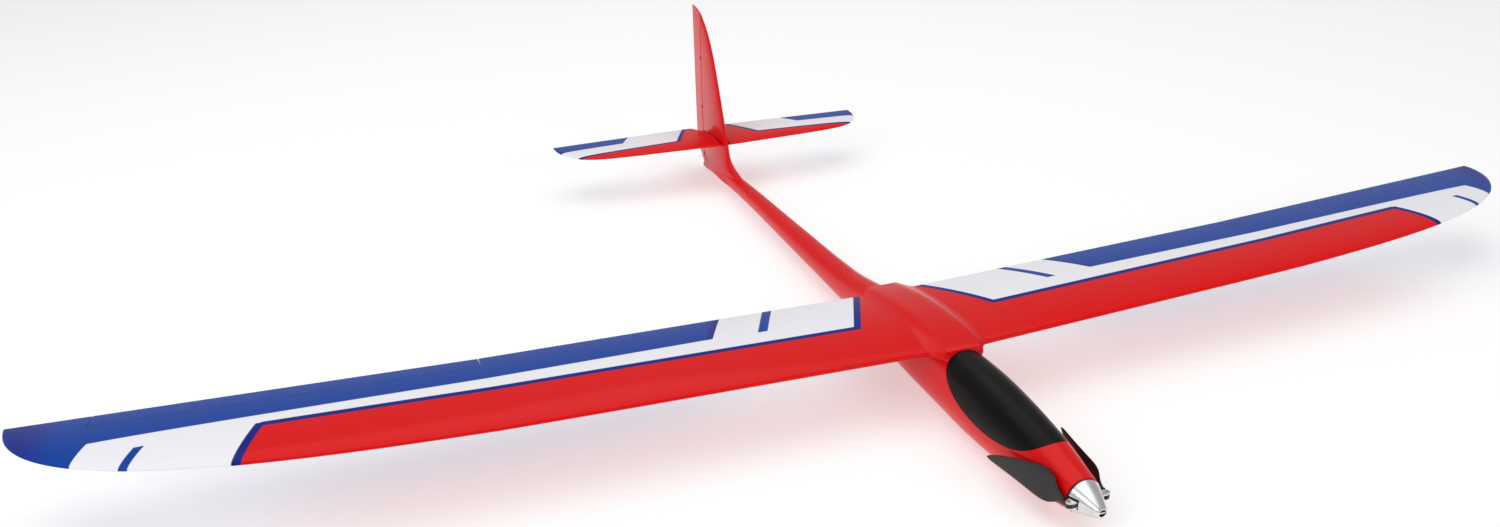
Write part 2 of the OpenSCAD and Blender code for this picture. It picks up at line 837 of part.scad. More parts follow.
// The servo's axle stands a quarter of its length from its front end.
function servo_front(at) = at[1] - servo_len * 0.27;

module fuselage_servo(at) {
    y0 = servo_front(at);
    color([0.1, 0.14, 0.3])
        difference() {
            union() {
                block([at[0] - servo_w / 2, y0, servo_floor],
                      [at[0] + servo_w / 2, y0 + servo_len, servo_floor + servo_h - 2]);
                block([at[0] - servo_w / 2, y0 - lug_len, lug_z],
                      [at[0] + servo_w / 2, y0 + servo_len + lug_len, lug_z + lug_t]);
                translate([at[0], at[1], servo_floor]) cylinder(h = servo_h, d = servo_w - 1);
                translate([at[0], at[1], servo_floor]) cylinder(h = servo_h + 3, d = spline_d);
            }
            servo_screw_places(at) translate([0, 0, lug_z - 1]) cylinder(h = 4, d = 2);
        }
}

module rudder_servo() { fuselage_servo(rudder_servo_at); }
module elevator_servo() { fuselage_servo(elevator_servo_at); }

module servo_screw_places(at) {
    for (y = [servo_front(at) - lug_len / 2, servo_front(at) + servo_len + lug_len / 2]) {
        translate([at[0], y, 0]) children();
    }
}

module servo_blocks() {
    color([0.8, 0.65, 0.42])
        difference() {
            for (at = servo_places(), end = [0, 1]) {
                y0 = end == 0 ? servo_front(at) - lug_len - 1 : servo_front(at) + servo_len + 0.2;
                block([at[0] - servo_w / 2, y0, servo_floor],
                      [at[0] + servo_w / 2, y0 + lug_len + 0.8, lug_z]);
            }
            for (at = servo_places()) {
                servo_screw_places(at) translate([0, 0, lug_z - 8]) cylinder(h = 20, d = 1.6);
            }
        }
}

module servo_screws() {
    color([0.7, 0.7, 0.72])
        for (at = servo_places()) {
            servo_screw_places(at) {
                translate([0, 0, lug_z + lug_t]) cylinder(h = 1.2, d = 4);
                translate([0, 0, lug_z - 7]) cylinder(h = 7 + lug_t + 0.1, d = 1.6);
            }
        }
}

// Arm on a fuselage servo: it turns in the level plane and points along +x or -x.
module level_arm(at, reach) {
    tip = abs(reach);
    translate([at[0], at[1], arm_z - arm_t / 2])
        mirror([reach < 0 ? 1 : 0, 0, 0])
            difference() {
                union() {
                    translate([0, 0, 0.2]) cylinder(h = arm_t + 0.6, d = 7);
                    hull() {
                        cylinder(h = arm_t, d = 5, $fn = hull_fn);
                        translate([tip, 0, 0]) cylinder(h = arm_t, d = 4, $fn = hull_fn);
                    }
                }
                translate([tip, 0, -1]) cylinder(h = arm_t + 2, d = wire_d + 2 * play);
                translate([0, 0, -0.4]) cylinder(h = 1.8, d = spline_d + 2 * play);
            }
}

module rudder_servo_arm() {
    color([0.92, 0.92, 0.9]) level_arm(rudder_servo_at, rudder_arm);
}

module elevator_servo_arm() {
    color([0.92, 0.92, 0.9]) level_arm(elevator_servo_at, -lever_len);
}

// The rudder's pushrod runs straight from the servo arm's pin to the horn's pin.
module rudder_pushrod() {
    below = [0, 0, -1.5];
    above = wire_lift + [0, 0, wire_d / 2];
    color([0.7, 0.7, 0.72]) {
        rod(rudder_pin_front + below, rudder_pin_front + above, wire_d);
        rod(rudder_pin_front + wire_lift, rudder_pin_back + wire_lift, wire_d);
        rod(rudder_pin_back + below, rudder_pin_back + above, wire_d);
    }
}

elevator_pin_front = [elevator_servo_at[0] - lever_len, elevator_servo_at[1], arm_z];
elevator_pin_back = [0, torque_y, stab_z - lever_len];
lever_t = 2;
wire_beside = lever_t / 2 + clear + wire_d / 2;   // from the lever's middle to the wire's
run_z = 29;               // height of the elevator wire where it starts to climb
climb = 122;
// Centre line of the elevator wire: straight through the boom, then up into the fin.
function elevator_line(y) =
    let (
        t = (y - elevator_pin_front[1]) / (torque_y - elevator_pin_front[1]),
        start = torque_y - climb,
        z = y < start ? mix(arm_z + 2.4, run_z, (y - elevator_pin_front[1])
                            / (start - elevator_pin_front[1]))
            : mix(run_z, elevator_pin_back[2], smooth((y - start) / (climb - 5)))
    )
    [mix(elevator_pin_front[0], wire_beside, clamp01(t * 1.02)), y, z];

module elevator_pushrod() {
    start = torque_y - climb;
    color([0.7, 0.7, 0.72]) {
        rod(elevator_pin_front - [0, 0, 1.5], elevator_pin_front + [0, 0, 2.6], wire_d);
        sweep([
            elevator_line(elevator_pin_front[1] - wire_d / 3),
            elevator_line(start),
            for (k = [1 : 12]) elevator_line(mix(start, torque_y, k / 12))
        ], wire_d);
        rod(elevator_line(torque_y), elevator_pin_back - [1.8, 0, 0], wire_d);
    }
}

tube_front = y_te + 50;
tube_back = y_te + 0.54 * (y_hinge - y_te);

module guide_tube(a, b, hole) {
    difference() {
        rod(a, b, hole + 0.8);
        rod(a - (b - a) / 50, b + (b - a) / 50, hole);
    }
}

module rudder_guide_tube() {
    color([0.85, 0.85, 0.8])
        guide_tube(on_rudder_line(tube_front) + wire_lift, on_rudder_line(tube_back) + wire_lift,
                   4.4);
}

module elevator_guide_tube() {
    color([0.85, 0.85, 0.8])
        guide_tube(elevator_line(tube_front), elevator_line(tube_back), 3.2);
}

former_t = 2;
module boom_formers() {
    color([0.8, 0.68, 0.48])
        difference() {
            intersection() {
                body_inside(shell_t + 0.05);
                union() {
                    for (y = [tube_front + 12, tube_back - 14]) {
                        block([-40, y, 0], [40, y + former_t, 90]);
                    }
                }
            }
            rod(on_rudder_line(tube_front - 5) + wire_lift,
                on_rudder_line(tube_back + 5) + wire_lift, 5.2);
            rod(elevator_line(tube_front - 5), elevator_line(tube_back + 5), 4);
        }
}

module wing_joiner_tube() {
    color([0.5, 0.48, 0.3])
        difference() {
            along_x(-root_x, root_x, joiner_y, joiner_z, joiner_d + 2.4);
            along_x(-root_x - 1, root_x + 1, joiner_y, joiner_z, joiner_d + 2 * play);
        }
}

module wing_joiner_rod() {
    color([0.1, 0.1, 0.1])
        along_x(-joiner_len / 2, joiner_len / 2, joiner_y, joiner_z, joiner_d);
}

module root_pins() {
    color([0.75, 0.75, 0.77])
        for (y = pin_ys, s = [-1, 1]) {
            along_x(s > 0 ? root_x - root_pin_half : -root_x - root_pin_half,
                    s > 0 ? root_x + root_pin_half : -root_x + root_pin_half,
                    y, root_pin_z(y), root_pin_d);
        }
}

// ---------- canopy fittings ----------

magnet_d = 6;
magnet_t = 2;
seat_t = 2;
// A cross bar under each end of the canopy's opening carries the lower magnet, and a tongue
// inside the canopy carries the upper one.
magnet_ys = [canopy_back - 30, canopy_back - canopy_len + 34];
magnet_seat_z = body_h - canopy_drop + 6;
magnet_low = magnet_seat_z + clear;

module hull_magnets() {
    color([0.8, 0.8, 0.82])
        for (y = magnet_ys) {
            intersection() {
                body_inside(shell_t + 0.05);
                translate([-body_w / 2, y - 5, magnet_seat_z - magnet_t - seat_t])
                    cube([body_w, 10, seat_t + magnet_t]);
            }
        }
}

module canopy_magnets() {
    color([0.8, 0.8, 0.82])
        for (y = magnet_ys) {
            translate([0, y, magnet_low]) cylinder(h = magnet_t, d = magnet_d);
            intersection() {
                body_inside(shell_t + 0.05);
                translate([-4, y - 4, magnet_low + magnet_t]) cube([8, 8, body_h]);
            }
        }
}

module tail_skid() {
    color([0.12, 0.12, 0.12])
        hull() {
            translate([0, y_hinge - 5.4, 2.6])
                rotate([0, 90, 0]) cylinder(h = 2.4, r = 0.5, center = true, $fn = hull_fn);
            translate([0, y_hinge + 14, 3.4])
                rotate([0, 90, 0]) cylinder(h = 2.4, r = 1, center = true, $fn = hull_fn);
            translate([0, y_hinge + 14, 6.5])
                rotate([0, 90, 0]) cylinder(h = 2.4, r = 1, center = true, $fn = hull_fn);
            translate([0, y_hinge - 5.4, 7])
                rotate([0, 90, 0]) cylinder(h = 2.4, r = 0.5, center = true, $fn = hull_fn);
        }
}

// ---------- propeller ----------

cone_tip_r = nose_hole_d / 2 + 1.3;
cone_pts = 14;
function cone_r(t, inset, tip) = mix(tip, spinner_d / 2 - inset, pow(1 - t, 0.82));
module cone_shape(inset, tip) {
    translate([0, y_base, axis_z])
        rotate([90, 0, 0])
            rotate_extrude($fn = 72)
                polygon(concat(
                    [[0, 0]],
                    [for (k = [0 : cone_pts])
                        [cone_r(k / cone_pts, inset, tip), spinner_len * k / cone_pts]],
                    [[0, spinner_len]]
                ));
}

yoke_arm = 8;
blade_t = 4.6;            // thickness of a blade's root between the yoke's ears

// The cone is slotted for the yoke's arms, and a web divides the cooling hole in its nose.
module spinner_cone() {
    slot_z = 1.4 * yoke_arm;
    web_t = 1.4;
    color([0.82, 0.83, 0.85])
        difference() {
            cone_shape(0, cone_tip_r);
            difference() {
                cone_shape(spinner_t, nose_hole_d / 2);
                block([-spinner_d / 2, y_nose + 0.6, axis_z - web_t / 2],
                      [spinner_d / 2, y_nose + 6, axis_z + web_t / 2]);
            }
            block([-spinner_d, hub_y - yoke_arm / 2 - 1, axis_z - slot_z / 2],
                  [spinner_d, y_base + 1, axis_z + slot_z / 2]);
        }
}

module spinner_backplate() {
    color([0.7, 0.71, 0.73])
        difference() {
            disc_y(y_base, y_base + 1.8, spinner_d);
            disc_y(y_base - 1, y_base + 3, shaft_d);
            for (s = [-1, 1]) disc_y(y_base - 1, y_base + 3, 5, 0, axis_z + 12 * s);
        }
}

// Centre piece: a boss on the shaft and two forked arms that hold the blade pins.
module prop_yoke() {
    color([0.78, 0.79, 0.81])
        difference() {
            union() {
                disc_y(hub_y - hub_len / 2, y_base, 14);
                block([-pin_x, hub_y - yoke_arm / 2, axis_z - yoke_arm / 2],
                      [pin_x, hub_y + yoke_arm / 2, axis_z + yoke_arm / 2]);
                for (s = [-1, 1]) {
                    translate([s * pin_x, hub_y, axis_z - yoke_arm / 2])
                        cylinder(h = yoke_arm, d = 7.2);
                }
            }
            disc_y(hub_y - 20, y_base + 5, shaft_d);
            for (s = [-1, 1]) {
                translate([s * pin_x, hub_y, axis_z]) {
                    cylinder(h = yoke_arm + 2, d = pin_d, center = true);
                    cube([13, 12, blade_t + 0.3], center = true);
                }
            }
        }
}

module blade_pins() {
    color([0.6, 0.6, 0.62])
        for (s = [-1, 1]) {
            translate([s * pin_x, hub_y, axis_z])
                cylinder(h = yoke_arm + 1, d = pin_d, center = true);
        }
}

// Stations of a blade: share of its length, share of its width, share by which its middle
// is swept, pitch angle and thickness.
blade_rows = [
    [0.06, 0.2, 0, 0, 4.4], [0.13, 0.42, -0.05, 4, 4], [0.22, 0.88, -0.13, 10, 3.4],
    [0.32, 1, -0.15, 12, 2.8], [0.5, 0.84, -0.1, 11, 2.3], [0.7, 0.58, 0, 9, 1.9],
    [0.87, 0.34, 0.1, 8, 1.4], [0.96, 0.17, 0.17, 8, 1], [1, 0.05, 0.2, 8, 0.6]
];
blade_side = 9;
function blade_ring(u) =
    let (
        c = along(blade_rows, u, 1) * blade_w,
        mid = along(blade_rows, u, 2) * blade_w,
        p = along(blade_rows, u, 3),
        t = along(blade_rows, u, 4)
    )
    [for (i = [0 : 2 * blade_side - 1])
        let (
            q = (i + 0.5) * 180 / blade_side,
            a = c / 2 * cos(q),
            b = t / 2 * sin(q) * (sin(q) > 0 ? 1.25 : 0.75)
        )
        [a * sin(p) - b * cos(p), u * blade_len, mid + a * cos(p) + b * sin(p)]];

module blade() {
    translate([pin_x, hub_y, axis_z])
        rotate([0, 0, -fold_lean])
            difference() {
                union() {
                    cylinder(h = blade_t, d = 7, center = true);
                    translate([-2.2, 0, -blade_t / 2]) cube([4.4, 9, blade_t]);
                    loft([for (u = [0.06, 0.09, 0.13, 0.175, 0.22, 0.27, 0.32, 0.41, 0.5, 0.6,
                                    0.7, 0.79, 0.87, 0.92, 0.96, 0.985, 1]) blade_ring(u)]);
                }
                cylinder(h = blade_t + 10, d = pin_d + 2 * play, center = true);
            }
}

module blade_left() {
    color([0.03, 0.03, 0.03]) blade();
}

module blade_right() {
    color([0.03, 0.03, 0.03])
        translate([0, 0, axis_z]) rotate([0, 180, 0]) translate([0, 0, -axis_z]) blade();
}

// ---------- tail ----------

rudder_low = 10.5;
rudder_tuck = 35;         // how far the rudder's lower corner is drawn forward
// Ring of the rudder at height z: a round nose about the hinge line and straight sides. Near
// the tip the nose follows the fin's leading edge as that curves back.
function rudder_ring(z) =
    let (
        front = fin_front(z),
        r = max(0.5, fin_half(z, max(y_hinge, front + 0.12 * fin_chord(z)))),
        nose = max(y_hinge, front + r),
        back = y_tail - rudder_tuck * pow(clamp01((58 - z) / 48), 1.6),
        edge = te_t / 2,
        side = [mix(edge, r, 0.5), mix(back, nose, 0.55), z]
    )
    concat(
        [[edge, back, z], side],
        [for (k = [0 : 9]) [r * cos(k * 20), nose - r * sin(k * 20), z]],
        [[-side[0], side[1], z], [-edge, back, z]]
    );
function rudder_heights() = [
    rudder_low, 16, 22, 30, 40, 52,
    for (t = [0, 0.25, 0.45, 0.62, 0.74, 0.83, 0.89, 0.925, 0.95, 0.97, 0.985, 0.995, 0.999])
        mix(66, fin_top, t)
];
hinge_pin_d = 1.5;
lug_zs = [28, 118, 208];
lug_h = 5;

module rudder() {
    color([0.86, 0.08, 0.1])
        difference() {
            loft([for (z = rudder_heights()) rudder_ring(z)]);
            translate([0, y_hinge, -1]) cylinder(h = 244, d = hinge_pin_d + 2 * play);
            for (z = lug_zs) {
                block([-10, y_hinge - 10, z - clear], [10, y_hinge + 3, z + lug_h + clear]);
            }
        }
}

module rudder_hinge_pin() {
    color([0.7, 0.7, 0.72])
        translate([0, y_hinge, 12]) cylinder(h = 226, d = hinge_pin_d);
}

// The leaf of a hinge, which is let into the back of the fin.
module hinge_leaf(z) {
    block([-1.2, y_hinge - fin_half(z, y_hinge) - 5, z], [1.2, y_hinge, z + lug_h]);
}

module rudder_hinges() {
    color([0.15, 0.15, 0.15])
        for (z = lug_zs) {
            difference() {
                union() {
                    translate([0, y_hinge, z]) cylinder(h = lug_h, d = 3.6);
                    hinge_leaf(z);
                }
                translate([0, y_hinge, z - 1]) cylinder(h = lug_h + 2, d = hinge_pin_d + 2 * play);
            }
        }
}

module rudder_horn() {
    inner = fin_half(rudder_horn_z, y_hinge) - 1.2;
    color([0.92, 0.92, 0.9])
        difference() {
            translate([0, 0, rudder_horn_z - arm_t / 2])
                linear_extrude(height = arm_t)
                    polygon([
                        [inner, y_hinge + 3], [rudder_arm - 1.4, y_hinge - 2],
                        [rudder_arm + 2, y_hinge - 2], [rudder_arm + 2, y_hinge + 1.8],
                        [inner - 1, y_hinge + 9]
                    ]);
            translate([rudder_arm, y_hinge, rudder_horn_z - 5])
                cylinder(h = 10, d = wire_d + 2 * play);
        }
}

stab_x = fin_t / 2 + 1;
stab_power = 10;
stab_t = 0.085;
function stab_size(s) =
    mix(stab_chord, stab_tip, s / stab_half)
    * sqrt(max(0.001, 1 - pow(s / stab_half, stab_power)));
stab_te = torque_y - 31 + stab_chord;
function stab_ring(s) =
    let (
        c = stab_size(s),
        back = stab_te - 0.04 * s
    )
    [for (p = section(c, stab_t, 0)) [s, back - c + p[0], stab_z + p[1]]];
module stab_half_blank() {
    loft([
        for (t = [0.999, 0.995, 0.985, 0.965, 0.93, 0.88, 0.8, 0.68, 0.5, 0.3])
            stab_ring(t * stab_half),
        for (s = [stab_x + 28, stab_x]) stab_ring(s)
    ]);
}

// One half of the all-moving tailplane, cut away behind to clear the rudder.
module stabiliser() {
    color([0.92, 0.92, 0.93])
        difference() {
            stab_half_blank();
            along_x(0, stab_x + 60, torque_y, stab_z, torque_d);
            along_x(0, stab_x + 40, drive_y, stab_z, drive_d);
            translate([0, 0, stab_z - 20])
                linear_extrude(height = 40)
                    polygon([[stab_x - 1, stab_te - 30], [stab_x + 8, stab_te - 30],
                             [stab_x + 22, stab_te + 5], [stab_x - 1, stab_te + 5]]);
        }
}

module tailplane_rods() {
    color([0.1, 0.1, 0.1]) {
        along_x(-stab_x - 60, stab_x + 60, torque_y, stab_z, torque_d);
        along_x(-stab_x - 40, stab_x + 40, drive_y, stab_z, drive_d);
    }
}

module tailplane_lever() {
    color([0.78, 0.79, 0.81])
        difference() {
            hull() {
                for (p = [[torque_y, stab_z, 4], [drive_y, stab_z, 2.6],
                          [torque_y, stab_z - lever_len, 2.6]]) {
                    translate([-lever_t / 2, p[0], p[1]])
                        rotate([0, 90, 0]) cylinder(h = lever_t, r = p[2], $fn = hull_fn);
                }
            }
            along_x(-5, 5, torque_y, stab_z, torque_d);
            along_x(-5, 5, drive_y, stab_z, drive_d);
            along_x(-5, 5, torque_y, stab_z - lever_len, wire_d + 0.5);
        }
}

// ---------- the nodes that come in pairs ----------

module wing_panel_left() { color([0.86, 0.08, 0.1]) wing_panel(); }
module wing_panel_right() { color([0.86, 0.08, 0.1]) other_side() wing_panel(); }
module root_rib_left() { color([0.8, 0.68, 0.48]) root_rib(); }
module root_rib_right() { color([0.8, 0.68, 0.48]) other_side() root_rib(); }
module aileron_servo_left() { color([0.1, 0.14, 0.3]) aileron_servo(); }
module aileron_servo_right() { color([0.1, 0.14, 0.3]) other_side() aileron_servo(); }
module servo_cover_left() { color([0.9, 0.9, 0.9]) servo_cover(); }
module servo_cover_right() { color([0.9, 0.9, 0.9]) other_side() servo_cover(); }
module aileron_left() { color([0.05, 0.25, 0.6]) aileron(); }
module aileron_right() { color([0.05, 0.25, 0.6]) other_side() aileron(); }
module aileron_horn_left() { color([0.92, 0.92, 0.9]) aileron_horn(); }
module aileron_horn_right() { color([0.92, 0.92, 0.9]) other_side() aileron_horn(); }
module aileron_servo_arm_left() { color([0.92, 0.92, 0.9]) aileron_servo_arm(); }
module aileron_servo_arm_right() { color([0.92, 0.92, 0.9]) other_side() aileron_servo_arm(); }
module aileron_pushrod_left() { color([0.7, 0.7, 0.72]) aileron_pushrod(); }
module aileron_pushrod_right() { color([0.7, 0.7, 0.72]) other_side() aileron_pushrod(); }
module stabiliser_left() { stabiliser(); }
module stabiliser_right() { other_side() stabiliser(); }

fuselage_shell();
motor_bulkhead();
motor_case();
motor_bearings();
motor_screws();
speed_controller();
battery();
battery_strap();
equipment_tray();
receiver();
servo_blocks();
rudder_servo();
elevator_servo();
servo_screws();
boom_formers();
rudder_guide_tube();
elevator_guide_tube();
wing_joiner_tube();
wing_joiner_rod();
root_pins();
hull_magnets();
tail_skid();
rudder_hinges();
wing_panel_left();
wing_panel_right();
root_rib_left();
root_rib_right();
aileron_servo_left();
aileron_servo_right();
servo_cover_left();
servo_cover_right();
canopy();
canopy_magnets();
motor_shaft();
motor_rotor();
spinner_backplate();
spinner_cone();
prop_yoke();
blade_pins();
blade_left();
blade_right();
aileron_left();
aileron_right();
aileron_horn_left();
aileron_horn_right();
aileron_servo_arm_left();
aileron_servo_arm_right();
aileron_pushrod_left();
aileron_pushrod_right();
rudder();
rudder_horn();
rudder_hinge_pin();
rudder_servo_arm();
rudder_pushrod();
stabiliser_left();
stabiliser_right();
tailplane_rods();
tailplane_lever();
elevator_servo_arm();
elevator_pushrod();
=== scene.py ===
# %% [markdown]
# A model glider in glossy red, white and blue, built on its fixed engineering frame. The frame
# brings the parts that move and fit; this lesson gives each of them the surface that a maker
# would finish it with. Everything is in metres, the nose points along -Y and +Z is up.

# %% Load the frame
import json
import math
import bmesh
import bpy
import numpy as np
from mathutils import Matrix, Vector


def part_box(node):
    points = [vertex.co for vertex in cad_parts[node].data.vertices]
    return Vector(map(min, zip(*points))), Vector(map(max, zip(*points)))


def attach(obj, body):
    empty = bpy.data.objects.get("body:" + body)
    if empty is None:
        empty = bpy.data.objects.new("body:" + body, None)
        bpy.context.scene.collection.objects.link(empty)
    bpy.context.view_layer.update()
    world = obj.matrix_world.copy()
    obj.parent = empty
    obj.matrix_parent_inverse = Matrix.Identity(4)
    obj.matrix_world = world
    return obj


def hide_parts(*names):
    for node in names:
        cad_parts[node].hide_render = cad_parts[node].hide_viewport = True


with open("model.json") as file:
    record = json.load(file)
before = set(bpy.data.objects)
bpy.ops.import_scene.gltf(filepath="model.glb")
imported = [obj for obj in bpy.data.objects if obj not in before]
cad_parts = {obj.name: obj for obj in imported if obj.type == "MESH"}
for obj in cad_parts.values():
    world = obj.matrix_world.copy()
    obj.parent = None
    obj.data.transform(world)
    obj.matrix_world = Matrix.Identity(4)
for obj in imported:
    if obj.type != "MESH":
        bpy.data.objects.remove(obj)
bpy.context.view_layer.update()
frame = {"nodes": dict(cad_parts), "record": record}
nodes = frame["nodes"]
MM = 0.001

# %% [markdown]
# Lengths are read off the frame where a part marks them, so that the skins land on the parts
# they stand for. The rest are the few sizes that a drawing of the model would give.

# %% Measures of the model
def low_of(node):
    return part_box(node)[0] / MM


def high_of(node):
    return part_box(node)[1] / MM


panel_reach = 0.99959  # share of the half span at which the frame's panel ends
half_span = high_of("wing_panel_left").x / panel_reach
root_x = low_of("root_rib_left").x
y_te = high_of("root_rib_left").y
y_ring = low_of("fuselage_shell").y
y_base = high_of("spinner_cone").y
y_nose = low_of("spinner_cone").y
y_tail = high_of("rudder").y
axis_z = (low_of("motor_case").z + high_of("motor_case").z) / 2
gap = 0.5
aileron_in = low_of("aileron_left").x - gap
aileron_out = high_of("aileron_left").x + gap
y_hinge = 576.0
root_chord, tip_chord, tip_power = 178.0, 160.0, 6.8
thickness, camber, te_t = 0.09, 0.02, 0.8
incidence, dihedral_in, dihedral_out = (math.radians(a) for a in (1.2, 1.35, 2.3))
wing_z, aileron_chord, aileron_bevel = 72.5, 32.0, math.radians(27)
y_le = y_te - root_chord
print("span", 2 * half_span, "root joint", root_x, "trailing edge", y_te)

# %% [markdown]
# Every skin here is a row of rings. One helper joins neighbouring rings with quads, closes the
# ends, merges the points that fall together and marks the edges that should stay crisp. Others
# cut a skin, mirror it, and dress it in its finish in the place of the frame's own part.

# %% Helpers for meshes
CRISP, THIN_CRISP = 35, 28  # edges that turn by more than this many degrees stay crisp


def new_piece(name, mesh):
    piece = bpy.data.objects.new(name, mesh)
    bpy.context.scene.collection.objects.link(piece)
    return piece


def tidy_mesh(mesh, crisp, merge=2e-6):
    bm = bmesh.new()
    bm.from_mesh(mesh)
    bmesh.ops.remove_doubles(bm, verts=bm.verts, dist=merge)
    bmesh.ops.dissolve_degenerate(bm, edges=bm.edges, dist=merge)
    bmesh.ops.recalc_face_normals(bm, faces=bm.faces)
    for face in bm.faces:
        face.smooth = True
    bm.to_mesh(mesh)
    bm.free()
    mesh.set_sharp_from_angle(angle=math.radians(crisp))


def skin(name, rings, crisp=CRISP):
    rings = np.asarray(rings, float)
    count, n = rings.shape[:2]
    faces = [
        (k * n + i, k * n + (i + 1) % n, (k + 1) * n + (i + 1) % n, (k + 1) * n + i)
        for k in range(count - 1)
        for i in range(n)
    ]
    faces += [tuple(range(n)), tuple(range((count - 1) * n, count * n))]
    mesh = bpy.data.meshes.new(name)
    mesh.from_pydata((rings.reshape(-1, 3) * MM).tolist(), [], faces)
    tidy_mesh(mesh, crisp)
    return new_piece(name, mesh)


def carve(piece, tool, operation="DIFFERENCE", crisp=CRISP):
    cut = piece.modifiers.new("cut", "BOOLEAN")
    cut.operation = operation
    cut.solver = "EXACT"
    cut.object = tool
    bpy.context.view_layer.update()
    made = piece.evaluated_get(bpy.context.evaluated_depsgraph_get())
    mesh = bpy.data.meshes.new_from_object(made)
    piece.modifiers.remove(cut)
    piece.data = mesh
    for face in mesh.polygons:
        face.use_smooth = True
    mesh.set_sharp_from_angle(angle=math.radians(crisp))
    bpy.data.objects.remove(tool)


def block(name, low, high):
    x0, y0, z0 = low
    x1, y1, z1 = high
    ring = [(x0, z0), (x1, z0), (x1, z1), (x0, z1)]
    return skin(name, [[(x, y, z) for x, z in ring] for y in (y0, y1)])


def turned(name, profile, centre, steps=96, crisp=30):
    x0, y0, z0 = centre
    angles = np.linspace(0, 2 * math.pi, steps, endpoint=False)
    rings = [
        [(x0 + r * math.cos(a), y0 + y, z0 + r * math.sin(a)) for a in angles]
        for y, r in profile
    ]
    return skin(name, rings, crisp)


def mirrored(piece, name):
    mesh = piece.data.copy()
    for vertex in mesh.vertices:
        vertex.co.x = -vertex.co.x
    mesh.flip_normals()
    mesh.set_sharp_from_angle(angle=math.radians(CRISP))
    return new_piece(name, mesh)


def dress(piece, finish, body, node):
    """Give a skin its finish, and let it ride on a body in the place of a frame node."""
    piece.data.materials.clear()
    piece.data.materials.append(finish)
    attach(piece, body)
    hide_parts(node)


print("mesh helpers ready")

# %% [markdown]
# The camera comes first, so that each new piece can be judged at once. It stands in front of
# the right wing and looks down over the nose, close enough for the near tip to loom.

# %% Camera
camera_data = bpy.data.cameras.new("camera")
camera_data.sensor_width = 36
camera_data.lens = 27.52
camera_data.clip_start = 0.02
camera = bpy.data.objects.new("camera", camera_data)
bpy.context.scene.collection.objects.link(camera)
camera.location = (-0.6247, -1.3599, 0.7162)
camera.rotation_euler = [math.radians(a) for a in (65.801, 1.113, -20.558)]
bpy.context.scene.camera = camera
print("camera at", tuple(camera.location))

# %% [markdown]
# The floor is plain and pale. An empty background could stand in for it, but then the model
# would throw no shadow. Big soft lights give the glossy skins long calm reflections.

# %% Stage and lights
floor_mesh = bpy.data.meshes.new("floor")
reach = 14.0
floor_mesh.from_pydata(
    [(-reach, -reach, 0), (reach, -reach, 0), (reach, reach, 0), (-reach, reach, 0)],
    [], [(0, 1, 2, 3)])
floor = new_piece("floor", floor_mesh)
floor.location.z = -0.0005
paper = bpy.data.materials.new("pale_paper")
paper.use_nodes = True
paper_shader = paper.node_tree.nodes["Principled BSDF"]
paper_shader.inputs["Base Color"].default_value = (0.62, 0.62, 0.62, 1)
paper_shader.inputs["Roughness"].default_value = 0.9
paper_shader.inputs["Specular IOR Level"].default_value = 0.0
paper_shader.inputs["Emission Color"].default_value = (1, 1, 1, 1)
paper_shader.inputs["Emission Strength"].default_value = 0.46
floor_mesh.materials.append(paper)


def soft_light(name, place, aim, width, height, power, colour=(1, 1, 1)):
    data = bpy.data.lights.new(name, "AREA")
    data.shape = "RECTANGLE"
    data.size, data.size_y = width, height
    data.energy = power
    data.color = colour
    light = bpy.data.objects.new(name, data)
    light.location = place
    light.rotation_euler = (Vector(aim) - Vector(place)).to_track_quat("-Z", "Y").to_euler()
    bpy.context.scene.collection.objects.link(light)


soft_light("overhead", (-0.3, 0.5, 3.2), (0, 0, 0), 4.4, 3.4, 54)
soft_light("front_left", (-3.0, -1.6, 1.9), (0, -0.3, 0), 1.8, 1.2, 23)
soft_light("nose_strip", (0.9, -2.4, 1.1), (0, -0.5, 0.05), 1.0, 0.35, 9, (1, 0.96, 0.92))
world = bpy.data.worlds.new("studio")
world.use_nodes = True
world.node_tree.nodes["Background"].inputs["Color"].default_value = (1, 1, 1, 1)
world.node_tree.nodes["Background"].inputs["Strength"].default_value = 0.46
bpy.context.scene.world = world
bpy.context.scene.view_settings.view_transform = "Standard"
print("stage and three lights set")

# %% [markdown]
# Materials are node trees. Sums on masks would need dozens of Math nodes wired by hand, so a
# small class wraps a socket and turns Python operators into nodes. Any other node comes from
# one method that takes its type, settings and inputs.

# %% Shader expressions
class Value:
    def __init__(self, tree, socket):
        self.tree, self.socket = tree, socket

    def math(self, operation, *others):
        node = self.tree.nodes.new("ShaderNodeMath")
        node.operation = operation
        for slot, item in zip(node.inputs, (self, *others)):
            connect(self.tree, item, slot)
        return Value(self.tree, node.outputs[0])

    def __add__(self, other):
        return self.math("ADD", other)

    def __mul__(self, other):
        return self.math("MULTIPLY", other)

    def __sub__(self, other):
        return self.math("SUBTRACT", other)

    def __rsub__(self, other):
        return (self * -1) + other

    def __truediv__(self, other):
        return self.math("DIVIDE", other)

    __radd__, __rmul__ = __add__, __mul__

    def least(self, other):
        return self.math("MINIMUM", other)

    def most(self, other):
        return self.math("MAXIMUM", other)

    def size(self):
        return self.math("ABSOLUTE")

    def step(self, edge, soft):
        """0 below the edge and 1 above it, with a soft border."""
        grown = (self - edge) / soft + 0.5
        return grown.most(0).least(1)


def connect(tree, item, slot):
    if isinstance(item, Value):
        tree.links.new(item.socket, slot)
    elif item is not None:
        slot.default_value = item


